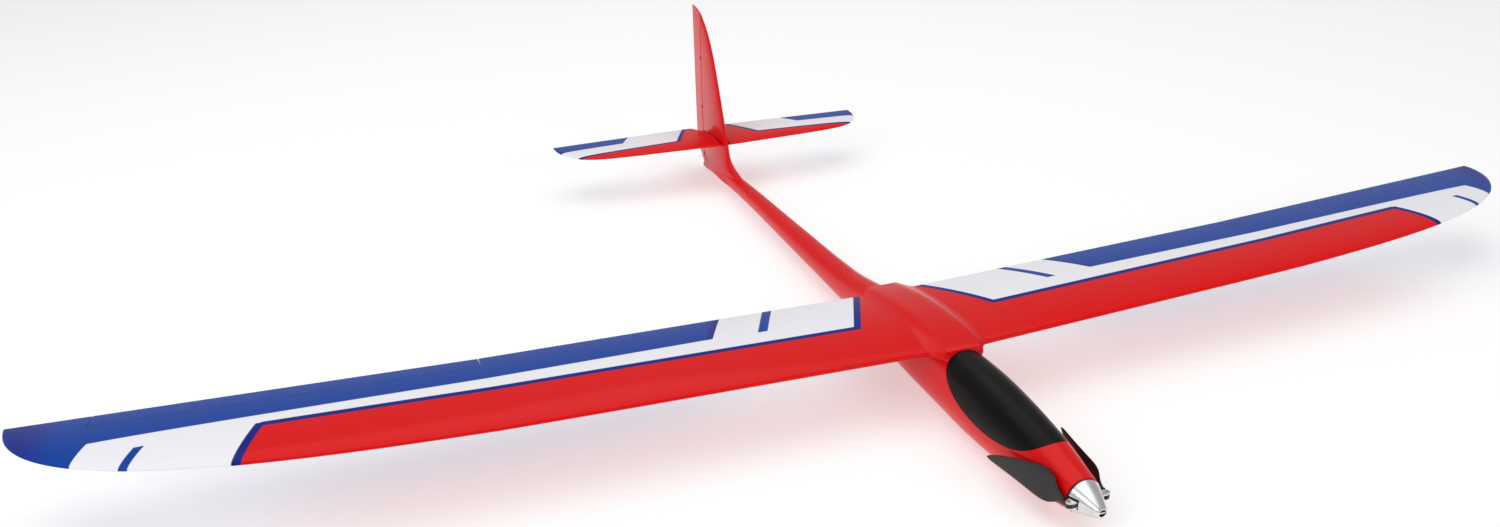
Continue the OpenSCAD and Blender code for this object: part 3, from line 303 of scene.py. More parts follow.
class Finish:
    """A material, its shader and the methods that add nodes to it."""

    def __init__(self, name, **sockets):
        self.material = bpy.data.materials.new(name)
        self.material.use_nodes = True
        self.tree = self.material.node_tree
        self.shader = self.tree.nodes["Principled BSDF"]
        self.place = self.node("ShaderNodeTexCoord", out="Object")
        for socket, amount in sockets.items():
            self.set(socket.replace("_", " "), amount)

    def node(self, kind, settings=None, out=0, **inputs):
        made = self.tree.nodes.new(kind)
        for key, value in (settings or {}).items():
            setattr(made, key, value)
        for key, item in inputs.items():
            connect(self.tree, item, made.inputs[key.replace("_", " ")])
        return Value(self.tree, made.outputs[out])

    def set(self, socket, item):
        connect(self.tree, item, self.shader.inputs[socket])

    def axis(self, name):
        return self.node("ShaderNodeSeparateXYZ", out=name, Vector=self.place)

    def noise(self, scale, detail=3.0, rough=0.5, place=None):
        return self.node("ShaderNodeTexNoise", Vector=place or self.place, Scale=scale,
                         Detail=detail, Roughness=rough)

    def stretched(self, x, y, z):
        return self.node("ShaderNodeMapping", Vector=self.place, Scale=(x, y, z))

    def blend(self, mask, low, high):
        made = self.tree.nodes.new("ShaderNodeMix")
        made.data_type = "RGBA"
        for slot, item in zip((0, 6, 7), (mask, low, high)):
            connect(self.tree, item, made.inputs[slot])
        return Value(self.tree, made.outputs[2])

    def bump(self, height, distance, strength=1.0):
        self.set("Normal", self.node("ShaderNodeBump", Height=height, Distance=distance,
                                     Strength=strength))


def rgb(red, green, blue):
    """A colour as a swatch shows it, turned into the linear values that a shader takes."""
    return tuple(((v / 255 + 0.055) / 1.055) ** 2.4 for v in (red, green, blue)) + (1.0,)


print("shader helpers ready")

# %% [markdown]
# The covering of the wing and tailplane is coloured film: red in front, white behind, with dark
# and light blue fields. On the real model it is ironed on in sheets, so each field has a sharp
# edge and sits a hair above the one below. Fields are half-planes of the position over the
# surface, cut out with the expressions above, so no image is needed and both wings share them.
# On the wing, a darker violet blue over the blue field's inner edge and near the tip is
# painted shade, not a film of its own.

# %% Film materials
FILM_RED = rgb(222, 8, 14)
FILM_DEEP_BLUE = rgb(4, 30, 128)
FILM_BLUE = rgb(0, 64, 158)
FILM_WHITE = rgb(242, 242, 248)
# Painted shade colour: a darker violet blue laid over parts of the wing's blue field.
PAINTED_SHADE_BLUE = rgb(34, 30, 128)


FILM_EDGE = 0.0009  # width over which one film turns into the next


def across(x, y, a, b):
    """Distance from the line through a and b, positive to its left when looking from a."""
    dx, dy = b[0] - a[0], b[1] - a[1]
    length = math.hypot(dx, dy)
    return (y - a[1]) * (dx / length) - (x - a[0]) * (dy / length)


def side_of(x, y, a, b):
    """1 to the left of the line from a to b, looking from a, and 0 to its right."""
    return across(x, y, a, b).step(0.0, FILM_EDGE)


def band(x, y, a, b, half):
    """1 within half of the line through a and b."""
    return 1 - across(x, y, a, b).size().step(half, FILM_EDGE)


def film(name):
    made = Finish(name, Coat_Weight=0.1, Coat_Roughness=0.12, Specular_IOR_Level=0.1)
    made.x = made.axis("X").size()
    made.y = made.axis("Y")
    return made


def film_surface(made, colour, edges):
    """Wrinkles so faint that they only bend reflections, sheet edges and a little dust."""
    ripple = made.noise(26, 2, 0.5, made.stretched(1, 0.35, 1)) * 0.6
    fine = made.noise(420, 2, 0.5) * 0.05
    made.bump(ripple + fine + edges * 0.25, 0.0006, 0.35)
    wear = made.noise(9, 4, 0.6)
    made.set("Base Color", made.blend(wear.step(0.68, 0.3) * 0.035, colour, rgb(120, 112, 108)))
    made.set("Roughness", wear * 0.1 + made.noise(95, 3) * 0.08 + 0.24)
    return made.material


def past(x, y, a, b, towards):
    """1 on the side of the line through a and b where the point towards lies."""
    turn = (b[0] - a[0]) * (towards[1] - a[1]) - (b[1] - a[1]) * (towards[0] - a[0])
    left = side_of(x, y, a, b)
    return left if turn > 0 else 1 - left


def wing_film(name):
    made = film(name)
    x, y = made.x, made.y
    te = y_te * MM
    tip = (0.99, te - 0.07)
    root_te, root_corner = (0.0447, te), (0.0925, te - 0.1030)
    stripe_end, red_tip = (0.752, te - 0.0914), (0.7725, te - 0.1454)
    behind = past(x, y, root_corner, stripe_end, (0.4, te))
    outboard = past(x, y, root_te, root_corner, (0.4, te))
    beyond_red = past(x, y, stripe_end, red_tip, tip)
    white = (behind * outboard).most(beyond_red * outboard)
    stripe = band(x, y, root_corner, stripe_end, 0.0042) * outboard * (1 - beyond_red)
    root_band = band(x, y, root_te, root_corner, 0.0043) * y.step(te - 0.1070, 0.001)
    tip_band = band(x, y, stripe_end, red_tip, 0.0045) * (1 - y.step(te - 0.0885, 0.001))
    lines = stripe.most(root_band).most(tip_band)
    field_te, field_in = (0.2307, te), (0.2611, te - 0.0655)
    field_out, field_le = (0.910, te - 0.0716), (0.925, te - 0.1095)
    field = (past(x, y, field_te, field_in, tip) * past(x, y, field_in, field_out, (0.6, te)))
    field = field.most(past(x, y, field_out, field_le, tip))
    bar = (band(x, y, (0.1681, te), (0.1975, te - 0.0640), 0.0056) * y.step(te - 0.0690, 0.001))
    tip_bar = (band(x, y, (0.8616, te - 0.096), (0.8754, te - 0.1265), 0.0044)
               * (1 - y.step(te - 0.0950, 0.001)))
    # Painted shade: the blue field is darkened towards violet along its inner edge and near the tip.
    painted_shade = x.step(0.955, 0.03).most(1 - past(x, y, (0.2390, te), (0.2694, te - 0.0655), tip))
    colour = made.blend(white, FILM_RED, FILM_WHITE)
    colour = made.blend(lines, colour, FILM_DEEP_BLUE)
    colour = made.blend(field.most(bar).most(tip_bar), colour, FILM_BLUE)
    colour = made.blend(painted_shade * field * 0.65, colour, PAINTED_SHADE_BLUE)
    return film_surface(made, colour, white + lines + field)


def tail_film(name):
    made = film(name)
    x, y = made.x, made.y
    te_inner, corner, stripe_tip = (0.0405, 0.579), (0.0740, 0.5035), (0.2620, 0.4915)
    tip = (0.28, 0.56)
    outboard = past(x, y, te_inner, corner, tip)
    behind = past(x, y, corner, stripe_tip, tip)
    white = outboard * behind
    lines = (band(x, y, te_inner, corner, 0.0034) * y.step(0.5010, 0.001)).most(
        band(x, y, corner, stripe_tip, 0.0026) * outboard)
    field = (past(x, y, (0.1450, 0.579), (0.1668, 0.5360), tip)
             * past(x, y, (0.1668, 0.5360), (0.2790, 0.5280), tip))
    colour = made.blend(white, FILM_RED, FILM_WHITE)
    colour = made.blend(lines, colour, FILM_DEEP_BLUE)
    colour = made.blend(field, colour, FILM_BLUE)
    return film_surface(made, colour, white + lines + field)


WING_FILM = wing_film("wing_film")
TAIL_FILM = tail_film("tail_film")
print("films:", WING_FILM.name, TAIL_FILM.name)

# %% [markdown]
# The other surfaces: gel-coated red moulding, satin black hatch, woven carbon, turned and drawn
# metals, plywood, moulded plastics, circuits in their sleeve, webbing and battery wrap. Each one
# has its own grain, gloss and small wear at the scale that the real stuff shows.

# %% Gel coat, paint and plastics
def gel_coat(name, colour, haze):
    made = Finish(name, Coat_Weight=0.16, Coat_Roughness=0.08, Specular_IOR_Level=0.12)
    flow = made.noise(14, 2, 0.5)
    made.bump(flow + made.noise(90, 2) * 0.04, 0.0007, 0.25)
    wear = made.noise(11, 5, 0.6)
    made.set("Base Color", made.blend(wear.step(0.64, 0.3) * 0.09, colour, haze))
    made.set("Roughness", wear * 0.12 + made.noise(120, 3) * 0.06 + 0.2)
    return made.material


def moulded(name, colour, rough, grain=900, worn=(150, 146, 140), gloss=0.45):
    made = Finish(name, Specular_IOR_Level=gloss)
    fine = made.noise(grain, 3, 0.6)
    scuff = made.noise(38, 5, 0.65)
    made.bump(fine, 0.00008, 0.5)
    made.set("Base Color", made.blend(scuff.step(0.62, 0.25) * 0.12, colour, rgb(*worn)))
    made.set("Roughness", fine * 0.12 + scuff * 0.12 + (rough - 0.12))
    return made.material


def metal(name, colour, rough, along, dull=(120, 118, 116)):
    """Turned or drawn metal: fine lines that run round or along it, and a thin tarnish."""
    made = Finish(name, Metallic=1.0)
    lines = made.noise(900, 2, 0.5, made.stretched(*along))
    tarnish = made.noise(60, 4, 0.6)
    made.bump(lines, 0.00003, 0.4)
    made.set("Base Color", made.blend(tarnish.step(0.6, 0.3) * 0.25, colour, rgb(*dull)))
    made.set("Roughness", lines * 0.14 + tarnish * 0.1 + (rough - 0.12))
    return made.material


def woven_carbon(name, pitch, gloss):
    """Twill of two fibre directions under clear resin."""
    made = Finish(name, Coat_Weight=gloss, Coat_Roughness=0.18, Specular_IOR_Level=0.3)
    x, y = made.axis("X"), made.axis("Y")
    warp = ((x + y) / pitch).math("FRACT").step(0.5, 0.2)
    weft = ((x - y) / (pitch * 0.5)).math("FRACT").step(0.5, 0.2)
    twill = (warp - weft).size()
    fibre = made.noise(2600, 2, 0.5, made.stretched(0.25, 1, 1))
    made.bump(twill * 0.5 + fibre * 0.3, 0.00004, 0.5)
    made.set("Base Color", made.blend(twill * 0.8, rgb(8, 8, 8), rgb(34, 33, 32)))
    made.set("Roughness", twill * 0.12 + fibre * 0.1 + 0.26)
    return made.material


def plywood(name):
    made = Finish(name, Roughness=0.6)
    plies = (made.axis("X") / 0.0007).math("FRACT").step(0.5, 0.35)
    grain = made.noise(300, 5, 0.7, made.stretched(1, 0.06, 1))
    made.bump(grain, 0.0001, 0.5)
    wood = made.blend(grain, rgb(206, 172, 122), rgb(150, 112, 68))
    made.set("Base Color", made.blend(plies * 0.35, wood, rgb(112, 78, 44)))
    made.set("Roughness", grain * 0.25 + 0.45)
    return made.material


def circuit(name):
    made = Finish(name, Roughness=0.45)
    blobs = made.node("ShaderNodeTexVoronoi", Vector=made.place, Scale=340.0)
    chips = blobs.step(0.28, 0.08)
    made.bump(chips, 0.0004, 0.6)
    made.set("Base Color", made.blend(chips, rgb(24, 26, 30), rgb(46, 74, 62)))
    made.set("Roughness", chips * 0.3 + 0.25)
    return made.material


def webbing(name):
    made = Finish(name, Roughness=0.8)
    weave = ((made.axis("X") / 0.0011).math("SINE") * (made.axis("Y") / 0.0011).math("SINE"))
    made.bump(weave, 0.0002, 0.8)
    fluff = made.noise(600, 4, 0.7)
    made.set("Base Color", made.blend(weave * 0.4 + fluff * 0.3, rgb(18, 18, 20), rgb(58, 58, 62)))
    made.set("Roughness", fluff * 0.2 + 0.7)
    return made.material


ALONG_Y, ROUND_Y = (1, 0.05, 1), (0.15, 6, 0.15)
FINISHES = {
    "red_shell": gel_coat("red_gel_coat", rgb(220, 6, 12), rgb(140, 40, 40)),
    "canopy_black": moulded("satin_hatch_black", rgb(9, 8, 8), 0.34, 500, (40, 37, 34), 0.12),
    "carbon": woven_carbon("carbon_twill", 0.002, 0.3),
    "polished_aluminium": metal("turned_aluminium", rgb(226, 226, 228), 0.24, ROUND_Y),
    "motor_metal": metal("motor_case_metal", rgb(92, 92, 98), 0.42, ALONG_Y, (50, 48, 46)),
    "steel": metal("drawn_steel", rgb(176, 178, 182), 0.3, ALONG_Y),
    "plywood": plywood("birch_plywood"),
    "servo_blue": moulded("servo_case_blue", rgb(22, 42, 96), 0.42),
    "electronics": circuit("circuit_in_sleeve"),
    "battery_wrap": gel_coat("battery_wrap", rgb(30, 64, 150), rgb(90, 100, 120)),
    "white_plastic": moulded("nylon_white", rgb(232, 230, 222), 0.45, 900, (188, 180, 164)),
    "black_plastic": moulded("nylon_black", rgb(24, 24, 26), 0.5),
    "strap": webbing("hook_strap"),
    "tube_liner": moulded("guide_tube_liner", rgb(214, 210, 196), 0.4, 700, (160, 150, 130)),
    "rotor_black": moulded("rotor_lacquer", rgb(16, 16, 18), 0.35),
    "wing_covering": WING_FILM,
    "blue_covering": WING_FILM,
    "white_covering": TAIL_FILM,
}
slot_of = {row["node"]: row["material_slot"] for row in frame["record"]["subparts"]}
WRAPPED = {"root_rib_left": WING_FILM, "root_rib_right": WING_FILM}
for name, part in nodes.items():
    finish = WRAPPED.get(name, FINISHES[slot_of[name]])
    if not part.material_slots:
        part.data.materials.append(finish)
    for slot in part.material_slots:
        slot.material = finish
print("finished", len(nodes), "frame nodes in", len(set(slot_of.values())), "finishes")

# %% [markdown]
# A wing panel is a row of sections on straight spars: the same section everywhere, scaled by the
# chord, and the tip's chord falls away on a smooth power curve. Rings of points do this exactly,
# where a box with a subdivision would round the thin edge. The aileron's bay is left out by
# ending the rings at its hinge line over its span.

# %% Wing sections
def half_thickness(x):
    return 5 * (0.2969 * np.sqrt(x) - 0.1260 * x - 0.3516 * x ** 2
                + 0.2843 * x ** 3 - 0.1036 * x ** 4)


def section(chord, thick, bow, n, x_from=0.0, x_to=1.0):
    """Points round a section from the back over the top to the back, between two stations."""
    x = x_from + (x_to - x_from) * (1 - np.cos(np.pi * np.arange(n + 1) / n)) / 2
    mean = 4 * bow * x * (1 - x)
    edge = te_t / 2 * x
    top = chord * (mean + thick * half_thickness(x)) + edge
    low = chord * (mean - thick * half_thickness(x)) - edge
    first = 1 if x_from == 0 else 0
    upper = np.column_stack([x * chord, top])[::-1]
    lower = np.column_stack([x * chord, low])[first:]
    return np.vstack([upper, lower])


def chord_at(s):
    t = min(s / half_span, 0.99985)
    return (root_chord + (tip_chord - root_chord) * t) * math.sqrt(1 - t ** tip_power)


def rise_at(s):
    inner = math.tan(dihedral_in) * (min(s, aileron_in) - root_x)
    return inner + math.tan(dihedral_out) * max(0.0, s - aileron_in)


def wing_ring(s, x_from, x_to, n, place=None, chord=None, back=0.0, grow=1.0):
    chord = chord or chord_at(s)
    points = section(chord, thickness * grow, camber, n, x_from, x_to)
    y = points[:, 0] - chord
    return np.column_stack([
        np.full(len(points), s if place is None else place),
        y_te + back + y * math.cos(incidence) + points[:, 1] * math.sin(incidence),
        wing_z + rise_at(s) - y * math.sin(incidence) + points[:, 1] * math.cos(incidence)])


def skin_height(s, forward, side):
    """Height of the top skin (side 1) or bottom skin (side -1), forward of the rear edge."""
    chord = chord_at(s)
    x = 1 - forward / chord
    height = chord * (4 * camber * x * (1 - x) + side * thickness * half_thickness(x))
    height += side * te_t / 2 * x
    return wing_z + rise_at(s) + forward * math.sin(incidence) + height * math.cos(incidence)


tip_curve = 1 - (1 - np.linspace(0, 1, 26)) ** 2.4
panel_in = high_of("root_rib_left").x


def bay_station(s):
    """Share of the chord where the aileron's bay starts, kept off the nose at the thin tip."""
    return max(0.3, 1 - (aileron_chord + gap) / chord_at(s))


inner_rows = list(np.linspace(panel_in, aileron_in - gap / 2, 14))
bay_rows = list(np.linspace(aileron_in - gap / 2, aileron_out + gap / 2, 14))
tip_rows = list(aileron_out + gap / 2 + (half_span - aileron_out - gap / 2) * tip_curve)
FRONT_POINTS, REAR_POINTS = 44, 10


def full_rings(rows):
    rings = []
    for s in rows:
        front = wing_ring(s, 0, bay_station(s), n=FRONT_POINTS)
        rear = wing_ring(s, bay_station(s), 1, n=REAR_POINTS)
        top, low = rear[:REAR_POINTS + 1], rear[REAR_POINTS + 1:]
        rings.append(np.vstack([top[:-1], front, low[1:]]))
    return rings


def bay_rings(rows):
    rings = []
    for s in rows:
        front = wing_ring(s, 0, bay_station(s), n=FRONT_POINTS)
        wall = np.linspace(front[-1], front[0], 2 * REAR_POINTS + 2)
        rings.append(np.vstack([wall[REAR_POINTS + 1:-1], front, wall[1:REAR_POINTS + 1]]))
    return rings


rings = np.array(full_rings(inner_rows) + bay_rings(bay_rows) + full_rings(tip_rows))
wing_left = skin("wing_skin_left", rings, crisp=THIN_CRISP)
print("wing rings", rings.shape, "triangles", len(wing_left.data.polygons) * 2)

# %% [markdown]
# The servo sits in a pocket in the lower skin, under a plastic cover. The pocket's opening is
# cut with an exact Boolean, because it crosses the skin where no ring ends.

# %% Servo pockets and the two panels
cover_low, cover_high = low_of("servo_cover_left"), high_of("servo_cover_left")
cover_gap, below_wing, pocket_deep = 0.2, 60, 6.0
pocket = block("pocket_cut", (cover_low.x - cover_gap, cover_low.y - cover_gap, below_wing),
               (cover_high.x + cover_gap, cover_high.y + cover_gap, cover_high.z + pocket_deep))
carve(wing_left, pocket, crisp=THIN_CRISP)
wing_right = mirrored(wing_left, "wing_skin_right")
for side, piece in (("left", wing_left), ("right", wing_right)):
    dress(piece, WING_FILM, "fuselage", f"wing_panel_{side}")
print("panels", wing_left.name, wing_right.name)

# %% [markdown]
# The aileron is the part of the same section behind the hinge line. Its front face slopes under
# the hinge so that it can swing down, and it rides on its own body.

# %% Ailerons
hinge_y = y_te - aileron_chord
AILERON_POINTS = 14


def aileron_ring(s):
    points = wing_ring(s, 1 - aileron_chord / chord_at(s), 1, n=AILERON_POINTS)
    top, low = points[:AILERON_POINTS + 1], points[AILERON_POINTS + 1:]
    hinge_z = top[-1][2]
    front = []
    for point in low:
        slope_y = hinge_y + max(0.0, hinge_z - point[2]) * math.tan(aileron_bevel)
        front.append((point[0], max(point[1], slope_y), point[2]))
    return np.vstack([top, np.array(front)])


aileron_rows = np.linspace(aileron_in + gap, aileron_out - gap, 22)
aileron_left = skin("aileron_skin_left", [aileron_ring(s) for s in aileron_rows], crisp=THIN_CRISP)
aileron_right = mirrored(aileron_left, "aileron_skin_right")
for side, piece in (("left", aileron_left), ("right", aileron_right)):
    dress(piece, WING_FILM, f"aileron_{side}", f"aileron_{side}")
print("aileron span", aileron_rows[0], aileron_rows[-1])

# %% [markdown]
# The fuselage is one red moulding: a pod that thins into the boom, a saddle that carries the
# wing, and the fin. A few drawn stations set half width, top and bottom; a smooth curve through
# them gives every ring between, and each ring is a soft-cornered oval.

# %% Pod and boom
body_w, body_h, boom_w, shell_t = 66.0, 82.0, 40.0, 1.2
rim_r, hollow_past_wing = 19.3, 90


def mix(a, b, t):
    return a + (b - a) * t


BODY = np.array([
    (y_ring, rim_r, axis_z + rim_r, axis_z - rim_r),
    (mix(y_ring, y_le, 0.27), body_w * 0.42, body_h - 10.5, 5.5),
    (mix(y_ring, y_le, 0.67), body_w * 0.5, body_h, -1.5),
    (y_le, body_w * 0.485, body_h - 0.5, -1.5),
    (mix(y_le, y_te, 0.5), body_w * 0.44, body_h - 5, -1),
    (y_te, boom_w * 0.6, body_h - 11, 3),
    (mix(y_te, y_hinge, 0.16), boom_w * 0.5, 52.5, 9),
    (mix(y_te, y_hinge, 0.4), boom_w * 0.425, 45.5, 12.5),
    (mix(y_te, y_hinge, 0.64), boom_w * 0.34, 42, 14.5),
    (mix(y_te, y_hinge, 0.81), boom_w * 0.29, 38, 12.5),
    (mix(y_te, y_hinge, 0.94), boom_w * 0.21, 35, 6.5),
    (y_hinge - 6, 6.6, 33, 2)])


def along(rows, y, column):
    """Value of a column on a smooth curve through the stations."""
    i = int(np.clip(np.searchsorted(rows[:, 0], y) - 1, 0, len(rows) - 2))

    def slope(k):
        a, b = max(0, k - 1), min(len(rows) - 1, k + 1)
        return (rows[b, column] - rows[a, column]) / (rows[b, 0] - rows[a, 0])

    h = rows[i + 1, 0] - rows[i, 0]
    t = float(np.clip((y - rows[i, 0]) / h, 0, 1))
    return ((2 * t ** 3 - 3 * t * t + 1) * rows[i, column]
            + (t ** 3 - 2 * t * t + t) * slope(i) * h
            + (3 * t * t - 2 * t ** 3) * rows[i + 1, column]
            + (t ** 3 - t * t) * slope(i + 1) * h)


def body_ring(y, inset=0.0, n=96):
    """A soft-cornered oval round the body, or round its hollow when inset by the wall."""
    wide, top, low = (along(BODY, y, column) for column in (1, 2, 3))
    wide, top, low = wide - inset, top - inset, low + inset
    a = 2 * np.pi * (np.arange(n) + 0.5) / n

    def soft(c, r):
        return np.sign(c) * np.abs(c) ** (2 / 2.25) * r

    x = soft(np.cos(a), wide)
    z = np.maximum(inset, (top + low) / 2 + soft(np.sin(a), (top - low) / 2))
    return np.column_stack([x, np.full(n, y), z])


nose_rows = np.linspace(y_ring, y_le, 56)
boom_rows = np.linspace(y_le, BODY[-1, 0], 92)[1:]
outer_rows = np.concatenate([nose_rows, boom_rows])
hollow_rows = outer_rows[outer_rows < y_te + hollow_past_wing]
pod = skin("pod_and_boom", [body_ring(y) for y in outer_rows])
hollow = skin("hollow", [body_ring(y_ring, shell_t) + (0, -3, 0)]
              + [body_ring(y, shell_t) for y in hollow_rows])
carve(pod, hollow)
print("pod rings", len(outer_rows), "triangles", len(pod.data.polygons) * 2)

# %% [markdown]
# The canopy is cut from the same body by one ellipse seen from the side, so its edge follows the
# pod's curve all round and the gap between hatch and pod stays even. The pod keeps what is
# outside the ellipse, and the hatch what is inside it, a third of a millimetre smaller.

# %% Canopy
hatch_long, hatch_deep, behind_hatch = 186, 48.5, 16
canopy_mid = y_le - behind_hatch - hatch_long / 2
canopy_mid_z = body_h + 4.5
canopy_reach = hatch_long / 2 + 3
HATCH_STEPS, HATCH_ROWS = 180, 60


def canopy_cutter(name, shrink):
    """An elliptic slab across the whole body, smaller by shrink all round."""
    a, b = canopy_reach - shrink, hatch_deep - shrink
    turn = np.linspace(0, 2 * np.pi, HATCH_STEPS, endpoint=False)
    rings = [np.column_stack([np.full(HATCH_STEPS, x), canopy_mid + a * np.cos(turn),
                              canopy_mid_z + b * np.sin(turn)]) for x in (-50, 50)]
    return skin(name, rings)


carve(pod, canopy_cutter("hatch_opening", 0.0))
hatch = skin("canopy_hatch", [body_ring(y) for y in outer_rows[:HATCH_ROWS]])
hatch_hollow = skin("hatch_hollow",
                    [body_ring(y, shell_t) for y in outer_rows[:HATCH_ROWS - 1]])
carve(hatch, hatch_hollow)
carve(hatch, canopy_cutter("hatch_outline", 0.35), "INTERSECT")
dress(hatch, FINISHES["canopy_black"], "canopy", "canopy")
print("canopy from", canopy_mid - canopy_reach, "to", canopy_mid + canopy_reach)

# %% [markdown]
# The saddle is the wing's own section, thickened and drawn forward and back as it meets the
# body, which makes the fillet at the wing root. Its flare follows a power curve, so it leaves
# the wing tangent to it.

# %% Wing saddle
flare_wide, flare_front, flare_back, flare_swell = 16.0, 22, 20, 0.2
from_root = np.append(np.linspace(0, flare_wide, 22), 26)


def saddle_ring(x):
    u = min(max((root_x - abs(x)) / flare_wide, 0.0), 1.0) ** 1.5
    front, back, grow = flare_front * u, flare_back * u, 1 + flare_swell * u
    ring = wing_ring(root_x, 0, 1, place=abs(x), chord=chord_at(root_x) + front + back,
                     back=back, grow=grow, n=FRONT_POINTS)
    ring[:, 0] = x
    return ring


left_half = [saddle_ring(root_x - d) for d in from_root]
right_half = [saddle_ring(-(root_x - d)) for d in from_root][::-1]
saddle = skin("wing_saddle", left_half + right_half, crisp=THIN_CRISP)
inside = skin("saddle_hollow", [body_ring(y, shell_t) for y in hollow_rows])
carve(saddle, inside, crisp=THIN_CRISP)
carve(saddle, canopy_cutter("saddle_hatch_clear", -0.1), crisp=THIN_CRISP)
print("saddle triangles", len(saddle.data.polygons) * 2)

# %% [markdown]
# The fin grows out of the boom with a long fillet at its leading edge, leans back, and its
# leading edge curves back into a pointed tip. Rings at rising heights follow that outline and
# keep the rear edge thin, where a subdivided box would round it.

# %% Fin
fin_top, fin_lean, fin_t, fin_low = 297.5, 0.43, 15.0, 20.0
fin_root_chord, fin_foot = 173, y_hinge - 130
boom_top, fin_clear, fin_crisp = 58, 66, 32


def fin_chord(z):
    t = max(0.0, (z - fin_low) / (fin_top - fin_low))
    line = fin_foot + fin_lean * (z - 62.5)
    return (y_tail - line) * math.sqrt(max(0.0009, 1 - t ** 9.5))


def fin_front(z):
    fillet = 50 * min(max((64.5 - z) / 25, 0.0), 1.0) ** 3
    return y_tail - fin_chord(z) - fillet


def fin_half(z, y):
    front = fin_front(z)
    x = min(max((y - front) / (y_tail - front), 0.0), 1.0)
    return fin_t / fin_root_chord * fin_chord(z) * half_thickness(x) + te_t / 2 * x


def fin_ring(z, n=26):
    front = fin_front(z)
    back = max(front + 1, min(y_hinge - fin_half(z, y_hinge) - 0.6, y_tail))
    share = (np.arange(1, n + 1) / n) ** 1.8
    flare = 7.0 * max(0.0, (boom_top - z) / 26) ** 2.2
    side = []
    for t in share:
        y = mix(front, back, t)
        side.append((fin_half(z, y) + flare * math.sin(math.pi * min(1.0, t * 1.06)) * 0.35, y, z))
    side = np.array(side)
    return np.vstack([side[::-1] * (-1, 1, 1), side])


fin_rows = [z for z in np.concatenate([
    np.linspace(fin_low, fin_clear, 20),
    mix(fin_clear, fin_top, 1 - (1 - np.linspace(0.03, 1, 44)) ** 1.7)])
    if fin_front(z) < y_hinge - 6]
fin = skin("fin", [fin_ring(z) for z in fin_rows], crisp=fin_crisp)
print("fin rows", len(fin_rows), "top", fin_rows[-1])

# %% [markdown]
# The rudder takes over the fin's outline behind the hinge line. Its nose is a half cylinder round
# that line, so the gap stays even as it turns, and three slots in it clear the hinge lugs.

# %% Rudder
def rudder_ring(z):
    front = fin_front(z)
    r = max(0.5, fin_half(z, max(y_hinge, front + 0.12 * fin_chord(z))))
    nose = max(y_hinge, front + r)
    tuck = 35 * min(max((boom_top - z) / 48, 0.0), 1.0) ** 1.6
    back, edge = y_tail - tuck, te_t / 2
    side = [(mix(edge, r, t), mix(back, nose, t ** 1.1), z) for t in np.linspace(0, 1, 9)[:-1]]
    bend = [(r * math.cos(a), nose - r * math.sin(a), z) for a in np.linspace(0, math.pi, 23)]
    other = [(-x, y, h) for x, y, h in side[::-1]]
    return np.array(side + bend + other)


rudder_rows = np.concatenate([
    np.linspace(low_of("rudder").z, boom_top, 22),
    mix(boom_top, fin_top, 1 - (1 - np.linspace(0.03, 1, 44)) ** 2)])
rudder_rows[-1] = mix(fin_clear, fin_top, 0.999)
rudder = skin("rudder_skin", [rudder_ring(z) for z in rudder_rows], crisp=fin_crisp)
lug_foots, lug_high, lug_gap = (28, 118, 208), 5, 0.4
for z in lug_foots:
    carve(rudder, block("lug_gap", (-10, y_hinge - 10, z - lug_gap),
                        (10, y_hinge + 3, z + lug_high + lug_gap)))
dress(rudder, FINISHES["red_shell"], "rudder", "rudder")
for piece in (pod, saddle, fin):
    dress(piece, FINISHES["red_shell"], "fuselage", "fuselage_shell")
print("red pieces:", pod.name, saddle.name, fin.name, rudder.name)

# %% [markdown]
# Each tailplane half is a flat symmetric section, tapered to a rounded tip, with its rear inner
# corner cut off so that the rudder can swing. It turns as one piece about a carbon rod.

# %% Tailplane
stab_in, stab_half, stab_z = low_of("stabiliser_left").x, 285.0, 80.0
stab_root_chord, stab_tip_chord, stab_thick = 117.0, 92.0, 0.085
stab_te = y_tail - 160 + stab_root_chord


def stab_ring(s):
    t = s / stab_half
    chord = mix(stab_root_chord, stab_tip_chord, t) * math.sqrt(max(0.001, 1 - t ** 10))
    points = section(chord, stab_thick, 0.0, n=30)
    return np.column_stack([np.full(len(points), s),
                            stab_te - 0.04 * s - chord + points[:, 0], stab_z + points[:, 1]])


stab_rows = np.concatenate([
    np.linspace(stab_in, 0.8 * stab_half, 18),
    stab_half * (0.8 + 0.199 * (1 - (1 - np.linspace(0.04, 1, 24)) ** 2.2))])
stab_left = skin("stabiliser_skin_left", [stab_ring(s) for s in stab_rows], crisp=THIN_CRISP)
corner = [(stab_in - 1, stab_te - 30), (stab_in + 8, stab_te - 30),
          (stab_in + 22, stab_te + 5), (stab_in - 1, stab_te + 5)]
corner_cut = skin("corner_cut", [[(x, y, z) for x, y in corner] for z in (60, 100)])
carve(stab_left, corner_cut, crisp=THIN_CRISP)
stab_right = mirrored(stab_left, "stabiliser_skin_right")
for side, piece in (("left", stab_left), ("right", stab_right)):
    dress(piece, TAIL_FILM, "tailplane", f"stabiliser_{side}")
print("tailplane half", stab_in, "to", stab_rows[-1])

# %% [markdown]
# The spinner is turned from aluminium and polished. Its side is a slightly bulging cone, slotted
# for the arms that carry the blades, with a fine split line from each slot to the cooling hole
# in its nose. A turned profile with a Boolean slot is how the real one is made, too.

# %% Spinner
SPINNER_R, CONE_TIP_R, HOLE_R, WALL, CONE_LONG = 19.0, 5.3, 4.0, 1.4, 30
ARM_HALF, WEB_HALF, SPLIT_HALF, SPLIT_DEEP = 5.6, 0.7, 0.18, 0.55
hub_y = y_base - 6.0


def cone(name, inset, tip, reach=0.0):
    t = np.linspace(0, 1, 40)
    radius = tip + (SPINNER_R - inset - tip) * (1 - t) ** 0.82
    profile = [(-CONE_LONG * a, r) for a, r in zip(t, radius)]
    if reach:
        profile = [(reach, radius[0])] + profile + [(-CONE_LONG - reach, radius[-1])]
    return turned(name, profile, (0, y_base, axis_z))


